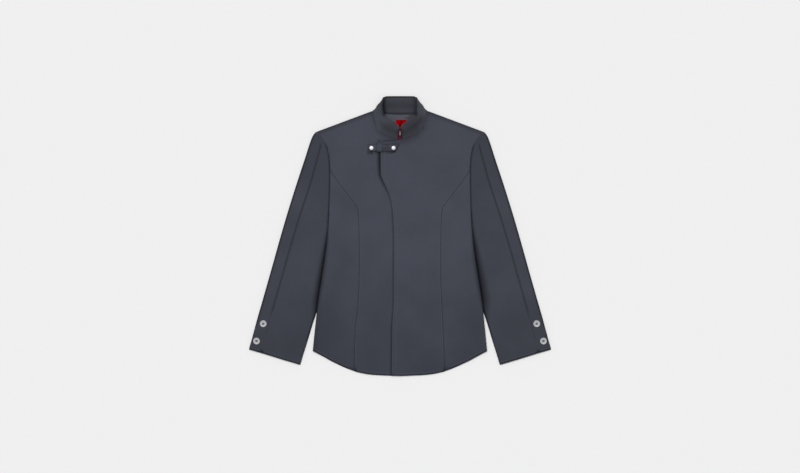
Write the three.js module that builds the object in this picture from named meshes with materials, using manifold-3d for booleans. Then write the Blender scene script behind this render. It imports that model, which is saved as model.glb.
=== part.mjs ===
// A men's overshirt with a stand collar, fastened and laid flat on its back.
// Millimetres. +X is the wearer's left, +Y runs toward the collar and +Z is up from the table.
// The origin is on the table, in the middle of the outline.
// Every piece of cloth is a wall with an outer and an inner face, cut to its own outline. Sections
// across a piece are worked out from the short tables below, and its height from what it lies on.

import * as THREE from "three";
import { mergeVertices } from "three/addons/utils/BufferGeometryUtils.js";
import Module from "manifold-3d";

const { PI, abs, cos, exp, floor, hypot, max, min, sin, sqrt } = Math;

// Cloth and layers.
const BODY_CLOTH = 1.6; // a fused front or back panel
const SLEEVE_CLOTH = 1.4;
const COLLAR_CLOTH = 2.4; // two layers with a stiffener
const COLLAR_SEAM_CLOTH = 1.2; // pressed thin along its seam
const FACING_CLOTH = 1;
const LABEL_CLOTH = 0.8;
const TAPE_CLOTH = 1.2; // zip tape with its teeth
const TAB_CLOTH = 2.2;
const BODY_DEPTH = 6.6; // table to the top of the front, both layers lying on each other
const SLEEVE_DEPTH = 6.6;
const SLEEVE_PRESSED = 4.6; // its depth where the body lies on it
const RISE_OVER_SLEEVE = 5; // how far a sleeve under it lifts the body
const RISE_REACH = 48; // over what distance the body comes down beside the sleeve
const REST_GAP = 0.3; // between layers that touch
const SEAM_GAP = 0.4; // between pieces sewn edge to edge, measured along X
const ARMHOLE_GAP = 0.7;

// A closed edge, where the front rolls down and the back up until they meet.
const ROLL_WIDTH = 9;
const ROLL_STEPS = [0, 1.5, 4.5, ROLL_WIDTH];
const FRONT_ROLL = 1.7;
const BACK_ROLL = 1.4;

// Body outline, up one side: the side seam to the armpit, then the armhole to the shoulder.
const BODY_EDGE = [
  { y: -314.5, x: 239 },
  { y: -246, x: 232 },
  { y: -180, x: 226.3 },
  { y: -131, x: 218.6 },
  { y: -65, x: 207.6 },
  { y: 1, x: 199.4 },
  { y: 67, x: 195.3 },
  { y: 128, x: 193 },
  { y: 160, x: 192.4 },
  { y: 196, x: 192.6 },
  { y: 226, x: 194.7 },
  { y: 245, x: 198.6 },
  { y: 257, x: 203.5 },
  { y: 275, x: 215.9 },
  { y: 287.5, x: 229.6 },
];
const ARMPIT_Y = 40;
const ARMPIT_CLOSED_Y = 52; // the side stays closed and raised up to here,
const ARMPIT_OPEN_Y = 90; // and from here the armhole is open and flat
const HEM = [
  { x: 0, y: -385 },
  { x: 81, y: -378.5 },
  { x: 144, y: -362 },
  { x: 180, y: -345.5 },
  { x: 210, y: -329 },
  { x: 239, y: -314.5 },
];
const SHOULDER = { neckX: 75.8, neckY: 345, tipX: 229.6, tipY: 287.5 };

// Front seam from the hem to its corner below the chest, then straight to the armhole.
const PRINCESS_SEAM = [
  { y: -369, x: 121.8 },
  { y: -298, x: 120.5 },
  { y: -243, x: 117.4 },
  { y: -180, x: 115 },
  { y: -130, x: 112 },
  { y: -76, x: 111.4 },
  { y: 31, x: 112.8 },
  { y: 78, x: 115 },
  { y: 84, x: 119.6 },
  { y: 180, x: 192.5 },
];
const PRINCESS_TOP_Y = 180;

// Free edge of the left front, which laps over the right front and hides the zip.
const LAP_EDGE = [
  { y: -384.6, x: -20 },
  { y: -293, x: -18.7 },
  { y: -131, x: -17.9 },
  { y: -75, x: -16.8 },
  { y: 8, x: -16.8 },
  { y: 61, x: -20 },
  { y: 87, x: -22 },
  { y: 101, x: -23.7 },
  { y: 115, x: -27.2 },
  { y: 129, x: -34.1 },
  { y: 143, x: -42.9 },
  { y: 157, x: -50 },
  { y: 168, x: -53.6 },
  { y: 232, x: -53.8 },
  { y: 261, x: -58.3 },
];
const LAP_TOP = [
  { x: -58.3, y: 261 },
  { x: -53, y: 261.4 },
  { x: -43, y: 262.2 },
  { x: -30, y: 263.3 },
  { x: -11, y: 265.1 },
];
const LAP_RISE_FROM_X = 45; // the left front starts to climb here, to lie on the right front
const LAP_CURL = { y: 205, reach: 45, height: 3, fromX: -30, toX: -55 };

// Sections of the front panels: where each meets the front edge and the seam side.
const FRONT_SECTIONS = [
  { edge: -384.6, seam: -368.6 },
  { edge: -330, seam: -315 },
  { edge: -270, seam: -260 },
  { edge: -205, seam: -200 },
  { edge: -140, seam: -140 },
  { edge: -75, seam: -76 },
  { edge: -10, seam: -15 },
  { edge: 38, seam: 32 },
  { edge: 78, seam: 78 },
  { edge: 112, seam: 102 },
  { edge: 142, seam: 138 },
  { edge: 168, seam: 180 },
  { edge: 193, seam: 215 },
  { edge: 213, seam: 240 },
  { edge: 235, seam: 260 },
  { edge: 261, seam: 287.5 },
];
const SIDE_SECTIONS = [
  { seam: -368.6, edge: -314.5 },
  { seam: -315, edge: -272 },
  { seam: -260, edge: -226 },
  { seam: -200, edge: -178 },
  { seam: -140, edge: -130 },
  { seam: -76, edge: -75 },
  { seam: -15, edge: -20 },
  { seam: 32, edge: 16 },
  { seam: 78, edge: 50 },
  { seam: 102, edge: 82 },
  { seam: 126, edge: 112 },
  { seam: 152, edge: 145 },
  { seam: 178.2, edge: 178.2 },
];
// Heights at which the back's sections meet its side edge.
const BACK_SECTIONS = [
  -314.5, -256, -196, -136, -80, -34, 2, 26, 48, 70, 92, 130, 175, 215, 240, 260, 287.5,
];

// Sleeve, laid flat: its inner fold, the seam near its outer fold, and that fold.
const SLEEVE_INNER = [
  { y: -352.8, x: 276.4 },
  { y: -246, x: 242 },
  { y: -170, x: 216 },
  { y: -90, x: 186 },
  { y: -50, x: 172.5 },
  { y: -15, x: 164 },
  { y: 5, x: 163.5 },
  { y: 22, x: 178 },
  { y: 34, x: 188.5 },
  { y: 38, x: 193 },
  { y: 40.5, x: 196.4 },
];
const SLEEVE_SEAM = [
  { y: -320.3, x: 381.5 },
  { y: -215, x: 354 },
  { y: -131, x: 330 },
  { y: 4, x: 292 },
  { y: 104, x: 260 },
  { y: 165, x: 240 },
  { y: 216, x: 227 },
  { y: 243, x: 219.5 },
  { y: 271, x: 214.2 },
];
const SLEEVE_OUTER = [
  { y: -310.5, x: 413 },
  { y: -213, x: 387.8 },
  { y: -115, x: 360.3 },
  { y: 34, x: 319 },
  { y: 133, x: 288.8 },
  { y: 232, x: 255.8 },
  { y: 281, x: 239.4 },
  { y: 287.4, x: 230.8 },
];
const SLEEVE_SECTIONS = [
  { inner: -352.8, seam: -320.3, outer: -310.5 },
  { inner: -302, seam: -269.5, outer: -260 },
  { inner: -250, seam: -217.5, outer: -208 },
  { inner: -197, seam: -164.5, outer: -155 },
  { inner: -143, seam: -110.5, outer: -101 },
  { inner: -90, seam: -57.5, outer: -48 },
  { inner: -42, seam: -5, outer: 5 },
  { inner: -5, seam: 48, outer: 60 },
  { inner: 22, seam: 101, outer: 115 },
  { inner: 34, seam: 156, outer: 172 },
  { inner: 38, seam: 208, outer: 222 },
  { inner: 39.5, seam: 243, outer: 257 },
  { inner: 40.1, seam: 262, outer: 281 },
  { inner: 40.5, seam: 271, outer: 287.4 },
];

// Shares of the way across a sleeve at which the points of its two wrapped pieces lie, over the
// top and along the underside. A hidden seam on the underside parts them.
const SLEEVE_FRONT = { over: [1, 0.96, 0.8, 0.63, 0.46, 0.3, 0.15, 0.04, 0], under: [0.06, 0.1785] };
const SLEEVE_BACK = { over: [0, 0.15, 0.55, 1], under: [0.95, 0.87, 0.72, 0.54, 0.36, 0.1815] };
const SWELL_REACH = 20; // a sleeve regains its depth over this distance outside the body
const FOLD_ANGLES = [PI / 4, 0, -PI / 4, -PI / 2];

// Collar, from the centre back round one side to the zip: its seam and its top edge.
const COLLAR_SECTIONS = [
  { seam: [0, 336.3, 0.5], top: [0, 385, 3.5] },
  { seam: [26, 337.1, 0.5], top: [20, 385, 3.6] },
  { seam: [50, 340.2, 0.8], top: [34, 384.8, 5] },
  { seam: [66, 344.3, 1], top: [41, 384.2, 6.2] },
  { seam: [72.6, 345.9, 1.7], top: [45.2, 382.6, 8.6] },
  { seam: [74.3, 345.2, 3.4], top: [47.3, 379, 13] },
  { seam: [73.4, 340, 4.9], top: [49, 372, 19] },
  { seam: [71.2, 330, 5.2], top: [50.3, 360, 25.5] },
  { seam: [69.5, 318, 5.2], top: [49.5, 346, 29.5] },
  { seam: [66, 302.5, 5.2], top: [44, 333.5, 31.5] },
  { seam: [59, 291.5, 5.2], top: [33.5, 324, 32.5] },
  { seam: [47, 282.3, 5.2], top: [23, 318.5, 33] },
  { seam: [30, 274.8, 5.2], top: [14.5, 311.5, 33] },
  { seam: [16.5, 270.4, 5.2], top: [10, 304, 33] },
  { seam: [7.4, 268, 5.2], top: [6.4, 296.5, 33] },
];
const COLLAR_BACK_SECTIONS = 5; // the first of them are sewn to the back, the rest to the fronts
const COLLAR_STEPS = [0, 0.12, 0.4, 0.7, 0.92, 1];
const NECK_GAP = 0.7;

// Zip: its tape from the hem to the neck, then up between the collar's ends.
const ZIP_SECTIONS = [
  { y: -383, z: 6.4, half: 6.6 },
  { y: -200, z: 6.4, half: 6.6 },
  { y: 0, z: 6.4, half: 6.6 },
  { y: 200, z: 6.4, half: 6.6 },
  { y: 259, z: 6.3, half: 6.6 },
  { y: 264, z: 5.6, half: 6.4 },
  { y: 267.5, z: 5.2, half: 6.2 },
  { y: 271, z: 7.6, half: 5.9 },
  { y: 281, z: 17.3, half: 5.2 },
  { y: 290.5, z: 26.6, half: 4.7 },
];
const COLLAR_SLOPE = 0.775; // radians, of the collar's front above the table
const SLIDER = {
  y: 290.6,
  z: 26.8,
  width: 8,
  length: 10,
  plate: 1.2,
  corner: 1.6,
  post: 2.6, // joins the two plates past the end of the tape
  postInset: 0.6,
  bridge: 1.6, // width of the bridge over the pull's bar
  leg: 1.2,
  legAt: 2, // how far its legs stand from the bar
  roof: 0.9,
  barPlay: 0.35,
};
const PULL = {
  width: 4.6,
  length: 16,
  thick: 1.2,
  corner: 0.8,
  window: 2.6, // the fork that fits round the bridge
  windowLength: 7.6,
  railEnd: 0.9, // past the bar
  hole: 0.9,
  bar: 0.6,
  axisZ: 3.2, // height of the bar above the tape
};

// What lies on the front: the tab that holds the lap shut, its keeper and its snaps.
const TAB = { fromX: -91.6, toX: -1, fromY: 232.7, toY: 253.3, corner: 3 };
// Places along the tab, close together at its rounded ends and where it climbs.
const TAB_STEPS = [
  0, 0.3, 1, 3, 9, 16, 20.6, 23.4, 26.3, 29.2, 32, 42, 56, 70, 80, 87.6, 89.6, 90.3, 90.6,
];
const TAB_CLIMB = { fromX: -71, toX: -59.6 }; // where it climbs from the right front to the lap
const KEEPER = { fromX: -64, toX: -48.5, middleY: 243, cloth: 1.2, slopeFrom: 3, slope: 2.4 };
// Places out from the keeper's middle: flat over the tab, down its edge, then the sewn foot.
const KEEPER_STEPS = [0, 7, 10.9, 11.4, 12.2, 12.9, 13.6, 15.5];
const SNAP = { x: [-78.4, -17.6], y: 243, radius: 6.4, height: 3, gap: 0.4 };

// Inside the back neck, and on the cuffs.
const FACING = { topHalf: 50, lowHalf: 42, lowY: 262, bow: 6, belowNeck: 0.4 };
const LABEL = { fromX: -11.5, toX: 18.5, fromY: 281, toY: 321 };
const BUTTON = { radius: 9.75, height: 3.4, dish: 0.9, holeAt: 2.3, holeRadius: 1.1 };
const BUTTON_PLACES = [
  { name: "upper", x: 376, y: -240 },
  { name: "lower", x: 394.5, y: -287.7 },
];

const MATERIALS = {
  cloth: new THREE.MeshStandardMaterial({ color: 0x434650, roughness: 0.9, metalness: 0 }),
  lining: new THREE.MeshStandardMaterial({ color: 0x53545f, roughness: 0.6, metalness: 0 }),
  label: new THREE.MeshStandardMaterial({ color: 0xa01018, roughness: 0.7, metalness: 0 }),
  tape: new THREE.MeshStandardMaterial({ color: 0x8c1020, roughness: 0.8, metalness: 0 }),
  metal: new THREE.MeshStandardMaterial({ color: 0xe6e6e8, roughness: 0.25, metalness: 1 }),
  button: new THREE.MeshStandardMaterial({ color: 0xc9c9cc, roughness: 0.35, metalness: 0 }),
};

const wasm = await Module();
wasm.setup();

// Numbers and points.
const mix = (from, to, share) => from + (to - from) * share;
const mixPoint = (from, to, share) => from.map((value, i) => mix(value, to[i], share));
const unit = (value) => min(1, max(0, value));
const smooth = (value) => unit(value) ** 2 * (3 - 2 * unit(value));
const distance = (a, b) => hypot(...a.map((value, i) => value - b[i]));
const evenSteps = (count) => Array.from({ length: count + 1 }, (_, i) => i / count);

// A smooth curve through a table's rows, which never overshoots them, read as one column
// at a value of another.
function curveThrough(rows, from, to) {
  const rise = rows.slice(1).map((row, i) => (row[to] - rows[i][to]) / (row[from] - rows[i][from]));
  const slopes = rows.map((_, i) => {
    const before = rise[max(i - 1, 0)];
    const after = rise[min(i, rise.length - 1)];
    return before * after > 0 ? (2 * before * after) / (before + after) : 0;
  });
  return (value) => {
    const at = min(max(value, rows[0][from]), rows.at(-1)[from]);
    const i = max(rows.findLastIndex((row, n) => row[from] <= at && n < rows.length - 1), 0);
    const width = rows[i + 1][from] - rows[i][from];
    const t = (at - rows[i][from]) / width;
    const ease = t * t * (3 - 2 * t);
    const pull = slopes[i] * t * (1 - t) ** 2 - slopes[i + 1] * t * t * (1 - t);
    return mix(rows[i][to], rows[i + 1][to], ease) + pull * width;
  };
}

const bodyEdgeX = curveThrough(BODY_EDGE, "y", "x");
const princessX = curveThrough(PRINCESS_SEAM, "y", "x");
const lapEdgeX = curveThrough(LAP_EDGE, "y", "x");
const hemY = curveThrough(HEM, "x", "y");
const sleeveInnerX = curveThrough(SLEEVE_INNER, "y", "x");
const sleeveSeamX = curveThrough(SLEEVE_SEAM, "y", "x");
const sleeveOuterX = curveThrough(SLEEVE_OUTER, "y", "x");

const shoulderSlope = (SHOULDER.tipY - SHOULDER.neckY) / (SHOULDER.tipX - SHOULDER.neckX);
const shoulderY = (x) => SHOULDER.neckY + (abs(x) - SHOULDER.neckX) * shoulderSlope;

// Heights. The body rises over the sleeve that lies under its side.
function bodyRise(x, y) {
  const beside = max(0, sleeveInnerX(min(y, ARMPIT_Y)) - abs(x));
  return RISE_OVER_SLEEVE * smooth(1 - beside / RISE_REACH) * sideClosed(y);
}

// 1 up to the armpit, where the side seam joins front and back, and 0 at the open armhole.
function sideClosed(y) {
  return smooth((ARMPIT_OPEN_Y - y) / (ARMPIT_OPEN_Y - ARMPIT_CLOSED_Y));
}

// 1 on a closed edge and 0 past the width that rolls, along a quarter of a circle.
function roll(inside) {
  const out = 1 - unit(inside / ROLL_WIDTH);
  return 1 - sqrt(1 - out * out);
}

function edgeRoll(x, y) {
  const atSide = roll(bodyEdgeX(y) - abs(x)) * sideClosed(y);
  const atShoulder = roll((shoulderY(x) - y) / hypot(1, shoulderSlope));
  return max(atSide, atShoulder);
}

const backUnderZ = (x, y) => bodyRise(x, y) + BACK_ROLL * edgeRoll(x, y);
const frontTopZ = (x, y) => bodyRise(x, y) + BODY_DEPTH - FRONT_ROLL * edgeRoll(x, y);

// The left front lies on the right front, and its free edge curls up below the tab.
function lapTopZ(x, y) {
  const climb = (BODY_CLOTH + REST_GAP) * smooth((LAP_RISE_FROM_X - x) / LAP_RISE_FROM_X);
  const nearEdge = smooth((LAP_CURL.fromX - x) / (LAP_CURL.fromX - LAP_CURL.toX));
  const curl = LAP_CURL.height * exp(-(((y - LAP_CURL.y) / LAP_CURL.reach) ** 2));
  return frontTopZ(x, y) + climb + curl * nearEdge;
}

function sleeveTopZ(x, y) {
  const outside = smooth((abs(x) - bodyEdgeX(y)) / SWELL_REACH);
  return mix(SLEEVE_PRESSED, SLEEVE_DEPTH, max(outside, 1 - sideClosed(y)));
}

// A closed wall between two grids of points that face each other, row by row.
function wall(outer, inner) {
  const rows = outer.length;
  const columns = outer[0].length;
  const points = [...outer.flat(), ...inner.flat()];
  const at = (side, row, column) => (side * rows + row) * columns + column;
  const faces = [];
  const quad = (a, b, c, d) => {
    const longerFirst = distance(points[a], points[c]) >= distance(points[b], points[d]);
    faces.push(...(longerFirst ? [a, b, c, a, c, d] : [a, b, d, b, c, d]));
  };
  for (let r = 0; r < rows - 1; r++) {
    for (let c = 0; c < columns - 1; c++) {
      quad(at(0, r, c), at(0, r, c + 1), at(0, r + 1, c + 1), at(0, r + 1, c));
      quad(at(1, r, c), at(1, r + 1, c), at(1, r + 1, c + 1), at(1, r, c + 1));
    }
    const last = columns - 1;
    quad(at(0, r, 0), at(0, r + 1, 0), at(1, r + 1, 0), at(1, r, 0));
    quad(at(0, r, last), at(1, r, last), at(1, r + 1, last), at(0, r + 1, last));
  }
  for (let c = 0; c < columns - 1; c++) {
    const last = rows - 1;
    quad(at(0, 0, c), at(1, 0, c), at(1, 0, c + 1), at(0, 0, c + 1));
    quad(at(0, last, c), at(0, last, c + 1), at(1, last, c + 1), at(1, last, c));
  }
  return facingOut(points, faces);
}

// A geometry of these points, with its faces turned outwards.
function facingOut(points, faces) {
  let volume = 0;
  for (let i = 0; i < faces.length; i += 3) {
    const [a, b, c] = [0, 1, 2].map((n) => new THREE.Vector3(...points[faces[i + n]]));
    volume += a.dot(b.cross(c));
  }
  const geometry = new THREE.BufferGeometry();
  geometry.setAttribute("position", new THREE.Float32BufferAttribute(points.flat(), 3));
  geometry.setIndex(volume < 0 ? faces.toReversed() : faces);
  geometry.computeVertexNormals();
  return geometry;
}

// A patch of cloth on the table plane between four edges, each a function of 0 to 1.
// The bottom and top edges fade out over the rows next to them.
function patch({ left, right, bottom, top, fade }) {
  const low = [left(0), right(0)];
  const high = [left(1), right(1)];
  return (u, v) => {
    const across = mixPoint(left(v), right(v), u);
    const lowLine = mixPoint(...low, u);
    const highLine = mixPoint(...high, u);
    const lowEdge = bottom(u);
    const highEdge = top(u);
    return across.map(
      (value, i) =>
        value + (lowEdge[i] - lowLine[i]) * (1 - v) ** fade + (highEdge[i] - highLine[i]) * v ** fade,
    );
  };
}

// The height Y at which a share of the way up a table of sections meets one of its columns.
function sectionY(sections, column) {
  return (v) => {
    const place = v * (sections.length - 1);
    const i = min(floor(place), sections.length - 2);
    return mix(sections[i][column], sections[i + 1][column], place - i);
  };
}

// Shares of the way up a table: each section, with closer ones under a shoulder's closed edge.
function rowShares(count, closedTop) {
  const shares = evenSteps(count - 1);
  const extra = closedTop ? [0.66, 0.84, 0.95].map((share) => (count - 2 + share) / (count - 1)) : [];
  return [...shares.slice(0, -1), ...extra, 1];
}

// Shares of the way in from a closed side: close steps where it rolls, then steps that follow
// the fold of the sleeve underneath, down the slope beside it.
function sideShares(width, y) {
  const narrow = min(1, width / 60);
  const toFold = max(bodyEdgeX(y) - sleeveInnerX(min(y, ARMPIT_Y)), ROLL_WIDTH + 3);
  const slope = [0, 1 / 3, 2 / 3, 1].map((share) => toFold + share * RISE_REACH);
  const fit = min(1, (0.8 * width) / slope.at(-1));
  return [...ROLL_STEPS.map((step) => step * narrow), ...slope.map((step) => step * fit)].map(
    (step) => step / width,
  );
}

// A grid of points on a patch, with its columns placed row by row.
function gridOn(shape, rows, columnsAt) {
  return rows.map((v) => {
    const [start, end] = [shape(0, v), shape(1, v)];
    return columnsAt(distance(start, end), end[1]).map((u) => shape(u, v));
  });
}
const raise = (grid, heightAt) => grid.map((row) => row.map(([x, y]) => [x, y, heightAt(x, y)]));
const mirrored = (grid) => grid.map((row) => row.map(([x, ...rest]) => [-x, ...rest]));

function layer(grid, underAt, thick) {
  return wall(
    raise(grid, (x, y) => underAt(x, y) + thick),
    raise(grid, underAt),
  );
}

const part = new THREE.Group();

function addPiece(name, geometry, material, parent = part) {
  const mesh = new THREE.Mesh(geometry, material.clone());
  mesh.name = name;
  parent.add(mesh);
}

// The neck line of the panels runs just outside the collar's seam, with a point for each of its
// sections. The side is 1 along the back neck and -1 along the front.
function neckLine(sections, side) {
  return sections.map(({ seam: [x, y] }, i) => {
    const [ax, ay] = sections[max(i - 1, 0)].seam;
    const [bx, by] = sections[min(i + 1, sections.length - 1)].seam;
    const gap = (side * NECK_GAP) / hypot(bx - ax, by - ay);
    return [x + (by - ay) * gap, y - (bx - ax) * gap];
  });
}

const neckPoint = [SHOULDER.neckX, SHOULDER.neckY];
const shoulderTip = [SHOULDER.tipX, SHOULDER.tipY];
const frontNeck = neckLine(COLLAR_SECTIONS.slice(COLLAR_BACK_SECTIONS + 1), -1).toReversed();

// Top edge of a front: along the neck line to the neck point, then down the shoulder. Its columns
// stand on the points of that line.
function frontTop(start, neckShare) {
  const points = [...start, ...frontNeck, neckPoint];
  const lengths = points.slice(1).map((point, i) => distance(point, points[i]));
  const total = lengths.reduce((sum, length) => sum + length);
  let passed = 0;
  const neckShares = [0, ...lengths.map((length) => ((passed += length) / total) * neckShare)];
  const edge = (u) => {
    if (u >= neckShare) return mixPoint(neckPoint, shoulderTip, (u - neckShare) / (1 - neckShare));
    const i = neckShares.findLastIndex((share) => share <= u);
    return mixPoint(points[i], points[i + 1], (u - neckShares[i]) / (neckShares[i + 1] - neckShares[i]));
  };
  const shoulderShares = [0.2, 0.4, 0.6, 0.8, 1].map((share) => mix(neckShare, 1, share));
  return { edge, shares: [...neckShares.slice(0, -1), neckShare, ...shoulderShares] };
}

// Left front: it spans from the lap's free edge to the princess seam and the armhole.
function leftFront() {
  const neckShare = 0.5;
  const edgeY = sectionY(FRONT_SECTIONS, "edge");
  const left = (v) => [lapEdgeX(edgeY(v)), edgeY(v)];
  const right = frontSeamEdge;
  const bottom = (u) => hemPoint(mix(left(0)[0], right(0)[0], u));
  const lapTop = LAP_TOP.map(({ x, y }) => [x, y]);
  const { edge: top, shares } = frontTop(lapTop, neckShare);
  const shape = patch({ left, right, bottom, top, fade: 4 });
  const grid = gridOn(shape, rowShares(FRONT_SECTIONS.length, true), () => shares);
  const under = (x, y) => lapTopZ(x, y) - BODY_CLOTH;
  addPiece("front_left", layer(grid, under, BODY_CLOTH), MATERIALS.cloth);
}

// Seam side of either front: the princess seam, then the armhole.
function frontSeamEdge(v) {
  const y = sectionY(FRONT_SECTIONS, "seam")(v);
  return [y < PRINCESS_TOP_Y ? princessX(y) - SEAM_GAP / 2 : bodyEdgeX(y) - SEAM_GAP / 2, y];
}

const hemPoint = (x) => [x, hemY(abs(x))];

// Right front, worked out on the left and mirrored: it stops beside the zip.
function rightFront() {
  const neckShare = 0.42;
  const [edgeX, topY] = frontNeck[0];
  const edgeY = sectionY(FRONT_SECTIONS, "edge");
  const stretch = (topY - HEM[0].y) / (FRONT_SECTIONS.at(-1).edge - FRONT_SECTIONS[0].edge);
  const left = (v) => [edgeX, HEM[0].y + (edgeY(v) - FRONT_SECTIONS[0].edge) * stretch];
  const right = frontSeamEdge;
  const bottom = (u) => hemPoint(mix(edgeX, right(0)[0], u));
  const { edge: top, shares } = frontTop([], neckShare);
  const shape = patch({ left, right, bottom, top, fade: 4 });
  const grid = mirrored(gridOn(shape, rowShares(FRONT_SECTIONS.length, true), () => shares));
  const under = (x, y) => frontTopZ(x, y) - BODY_CLOTH;
  addPiece("front_right", layer(grid, under, BODY_CLOTH), MATERIALS.cloth);
}

// Side fronts, between the princess seam and the side seam.
function sideFronts() {
  const seamY = sectionY(SIDE_SECTIONS, "seam");
  const sideY = sectionY(SIDE_SECTIONS, "edge");
  const left = (v) => [princessX(seamY(v)) + SEAM_GAP / 2, seamY(v)];
  const right = (v) => [bodyEdgeX(sideY(v)) - SEAM_GAP / 2, sideY(v)];
  const bottom = (u) => hemPoint(mix(left(0)[0], right(0)[0], u));
  const top = (u) => mixPoint(left(1), right(1), u);
  const shape = patch({ left, right, bottom, top, fade: 4 });
  const grid = gridOn(shape, rowShares(SIDE_SECTIONS.length, false), (width, y) => [
    0,
    ...sideShares(width, y).map((share) => 1 - share).toReversed(),
  ]);
  const under = (x, y) => frontTopZ(x, y) - BODY_CLOTH;
  addPiece("side_front_left", layer(grid, under, BODY_CLOTH), MATERIALS.cloth);
  addPiece("side_front_right", layer(mirrored(grid), under, BODY_CLOTH), MATERIALS.cloth);
}

// Back: one panel from side seam to side seam, up to both shoulders and the back neck.
function back() {
  const backNeck = [...neckLine(COLLAR_SECTIONS.slice(0, COLLAR_BACK_SECTIONS), 1), neckPoint];
  const neckY = curveThrough(backNeck.map(([x, y]) => ({ x, y })), "x", "y");
  const sections = BACK_SECTIONS.map((y) => ({ y }));
  const sideY = sectionY(sections, "y");
  const right = (v) => [bodyEdgeX(sideY(v)) - SEAM_GAP / 2, sideY(v)];
  const left = (v) => [-right(v)[0], right(v)[1]];
  const bottom = (u) => hemPoint(mix(left(0)[0], right(0)[0], u));
  const tipX = right(1)[0];
  const top = (u) => {
    const x = mix(-tipX, tipX, u);
    return [x, abs(x) > SHOULDER.neckX ? shoulderY(x) : neckY(abs(x))];
  };
  const shape = patch({ left, right, bottom, top, fade: 4 });
  const neckShare = (tipX - SHOULDER.neckX) / (2 * tipX);
  const middle = [0.2, 0.27, neckShare, 0.39, 0.445]; // from the slope to the centre back
  const grid = gridOn(shape, rowShares(sections.length, true), (width, y) => {
    const half = [...sideShares(width, y), ...middle];
    return [...half, 0.5, ...half.map((share) => 1 - share).toReversed()];
  });
  addPiece("back_body", layer(grid, backUnderZ, BODY_CLOTH), MATERIALS.cloth);
  return neckY;
}

// A sleeve's flat patches and its two rounded folds.
function sleeveFold(xAt, column, inward) {
  const yAt = sectionY(SLEEVE_SECTIONS, column);
  const step = 0.02;
  return (v) => {
    const y = yAt(v);
    const [low, high] = [yAt(max(v - step, 0)), yAt(min(v + step, 1))];
    const across = xAt(high) - xAt(low);
    const length = hypot(high - low, across);
    const normal = [((high - low) / length) * inward, (-across / length) * inward];
    const edge = [xAt(y), y];
    const radius = sleeveTopZ(...edge) / 2;
    return { edge, normal, radius, inset: edge.map((value, i) => value + normal[i] * radius) };
  };
}

// Points round a fold, from the top layer's end to the underside.
function foldPoints({ edge, normal, radius }, bendRadius) {
  return FOLD_ANGLES.map((angle) => {
    const fromEdge = radius - bendRadius * cos(angle);
    const onTable = edge.map((value, i) => value + normal[i] * fromEdge);
    return [...onTable, radius + bendRadius * sin(angle)];
  });
}

// The armhole line on the sleeve's side, eased onto the points where it starts and ends.
function armholeLine(from, to) {
  const onLine = (y) => bodyEdgeX(y) + ARMHOLE_GAP;
  return (u) => {
    const y = mix(from[1], to[1], u);
    const start = (from[0] - onLine(from[1])) * (1 - u) ** 12;
    const end = (to[0] - onLine(to[1])) * u ** 12;
    return [onLine(y) + start + end, y];
  };
}

function sleeves() {
  const inner = sleeveFold(sleeveInnerX, "inner", 1);
  const outer = sleeveFold(sleeveOuterX, "outer", -1);
  const seamY = sectionY(SLEEVE_SECTIONS, "seam");
  const seam = (side) => (v) => [sleeveSeamX(seamY(v)) + (side * SEAM_GAP) / 2, seamY(v)];
  const between = (left, right) =>
    patch({
      left,
      right,
      bottom: (u) => mixPoint(left(0), right(0), u),
      top: armholeLine(left(1), right(1)),
      fade: 4,
    });
  const innerInset = (v) => inner(v).inset;
  const outerInset = (v) => outer(v).inset;
  const frontTopPatch = between(innerInset, seam(-1));
  const backTopPatch = between(seam(1), outerInset);
  const underPatch = between(innerInset, outerInset);
  const rows = rowShares(SLEEVE_SECTIONS.length, false);

  // One wrapped piece: over the top, round a fold and along the underside.
  const wrapped = (topPatch, { over, under }, fold) => {
    const gridAt = (inset) =>
      rows.map((v) => {
        const onTop = over.map((u) => {
          const [x, y] = topPatch(u, v);
          return [x, y, sleeveTopZ(x, y) - inset];
        });
        const below = under.map((u) => [...underPatch(u, v), inset]);
        const bend = fold(v);
        return [...onTop, ...foldPoints(bend, bend.radius - inset), ...below];
      });
    return [gridAt(0), gridAt(SLEEVE_CLOTH)];
  };
  const front = wrapped(frontTopPatch, SLEEVE_FRONT, inner);
  const underneath = wrapped(backTopPatch, SLEEVE_BACK, outer);
  addPiece("sleeve_front_left", wall(...front), MATERIALS.cloth);
  addPiece("sleeve_back_left", wall(...underneath), MATERIALS.cloth);
  addPiece("sleeve_front_right", wall(...front.map(mirrored)), MATERIALS.cloth);
  addPiece("sleeve_back_right", wall(...underneath.map(mirrored)), MATERIALS.cloth);
}

// Collar: one band round the neck, open at the zip. Its inner face is its outer one moved in.
function collar() {
  const half = COLLAR_SECTIONS.slice(1);
  const flip = ([x, y, z]) => [-x, y, z];
  const otherHalf = half.toReversed().map(({ seam, top }) => ({ seam: flip(seam), top: flip(top) }));
  const ring = [...otherHalf, ...COLLAR_SECTIONS];
  const outer = COLLAR_STEPS.map((step) => ring.map(({ seam, top }) => mixPoint(seam, top, step)));
  const inner = outer.map((row, r) =>
    row.map((point, c) => {
      const inwards = gridNormal(outer, r, c);
      const thick = r === 0 ? COLLAR_SEAM_CLOTH : COLLAR_CLOTH;
      return point.map((value, i) => value + inwards[i] * thick);
    }),
  );
  addPiece("collar", wall(outer, inner), MATERIALS.cloth);
}

// Direction in which a grid of points faces at one of them.
function gridNormal(grid, row, column) {
  const point = (r, c) => new THREE.Vector3(...grid[min(max(r, 0), grid.length - 1)][c]);
  const last = grid[0].length - 1;
  const along = point(row, min(column + 1, last)).sub(point(row, max(column - 1, 0)));
  const up = point(row + 1, column).sub(point(row - 1, column));
  return along.cross(up).normalize().toArray();
}

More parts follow.
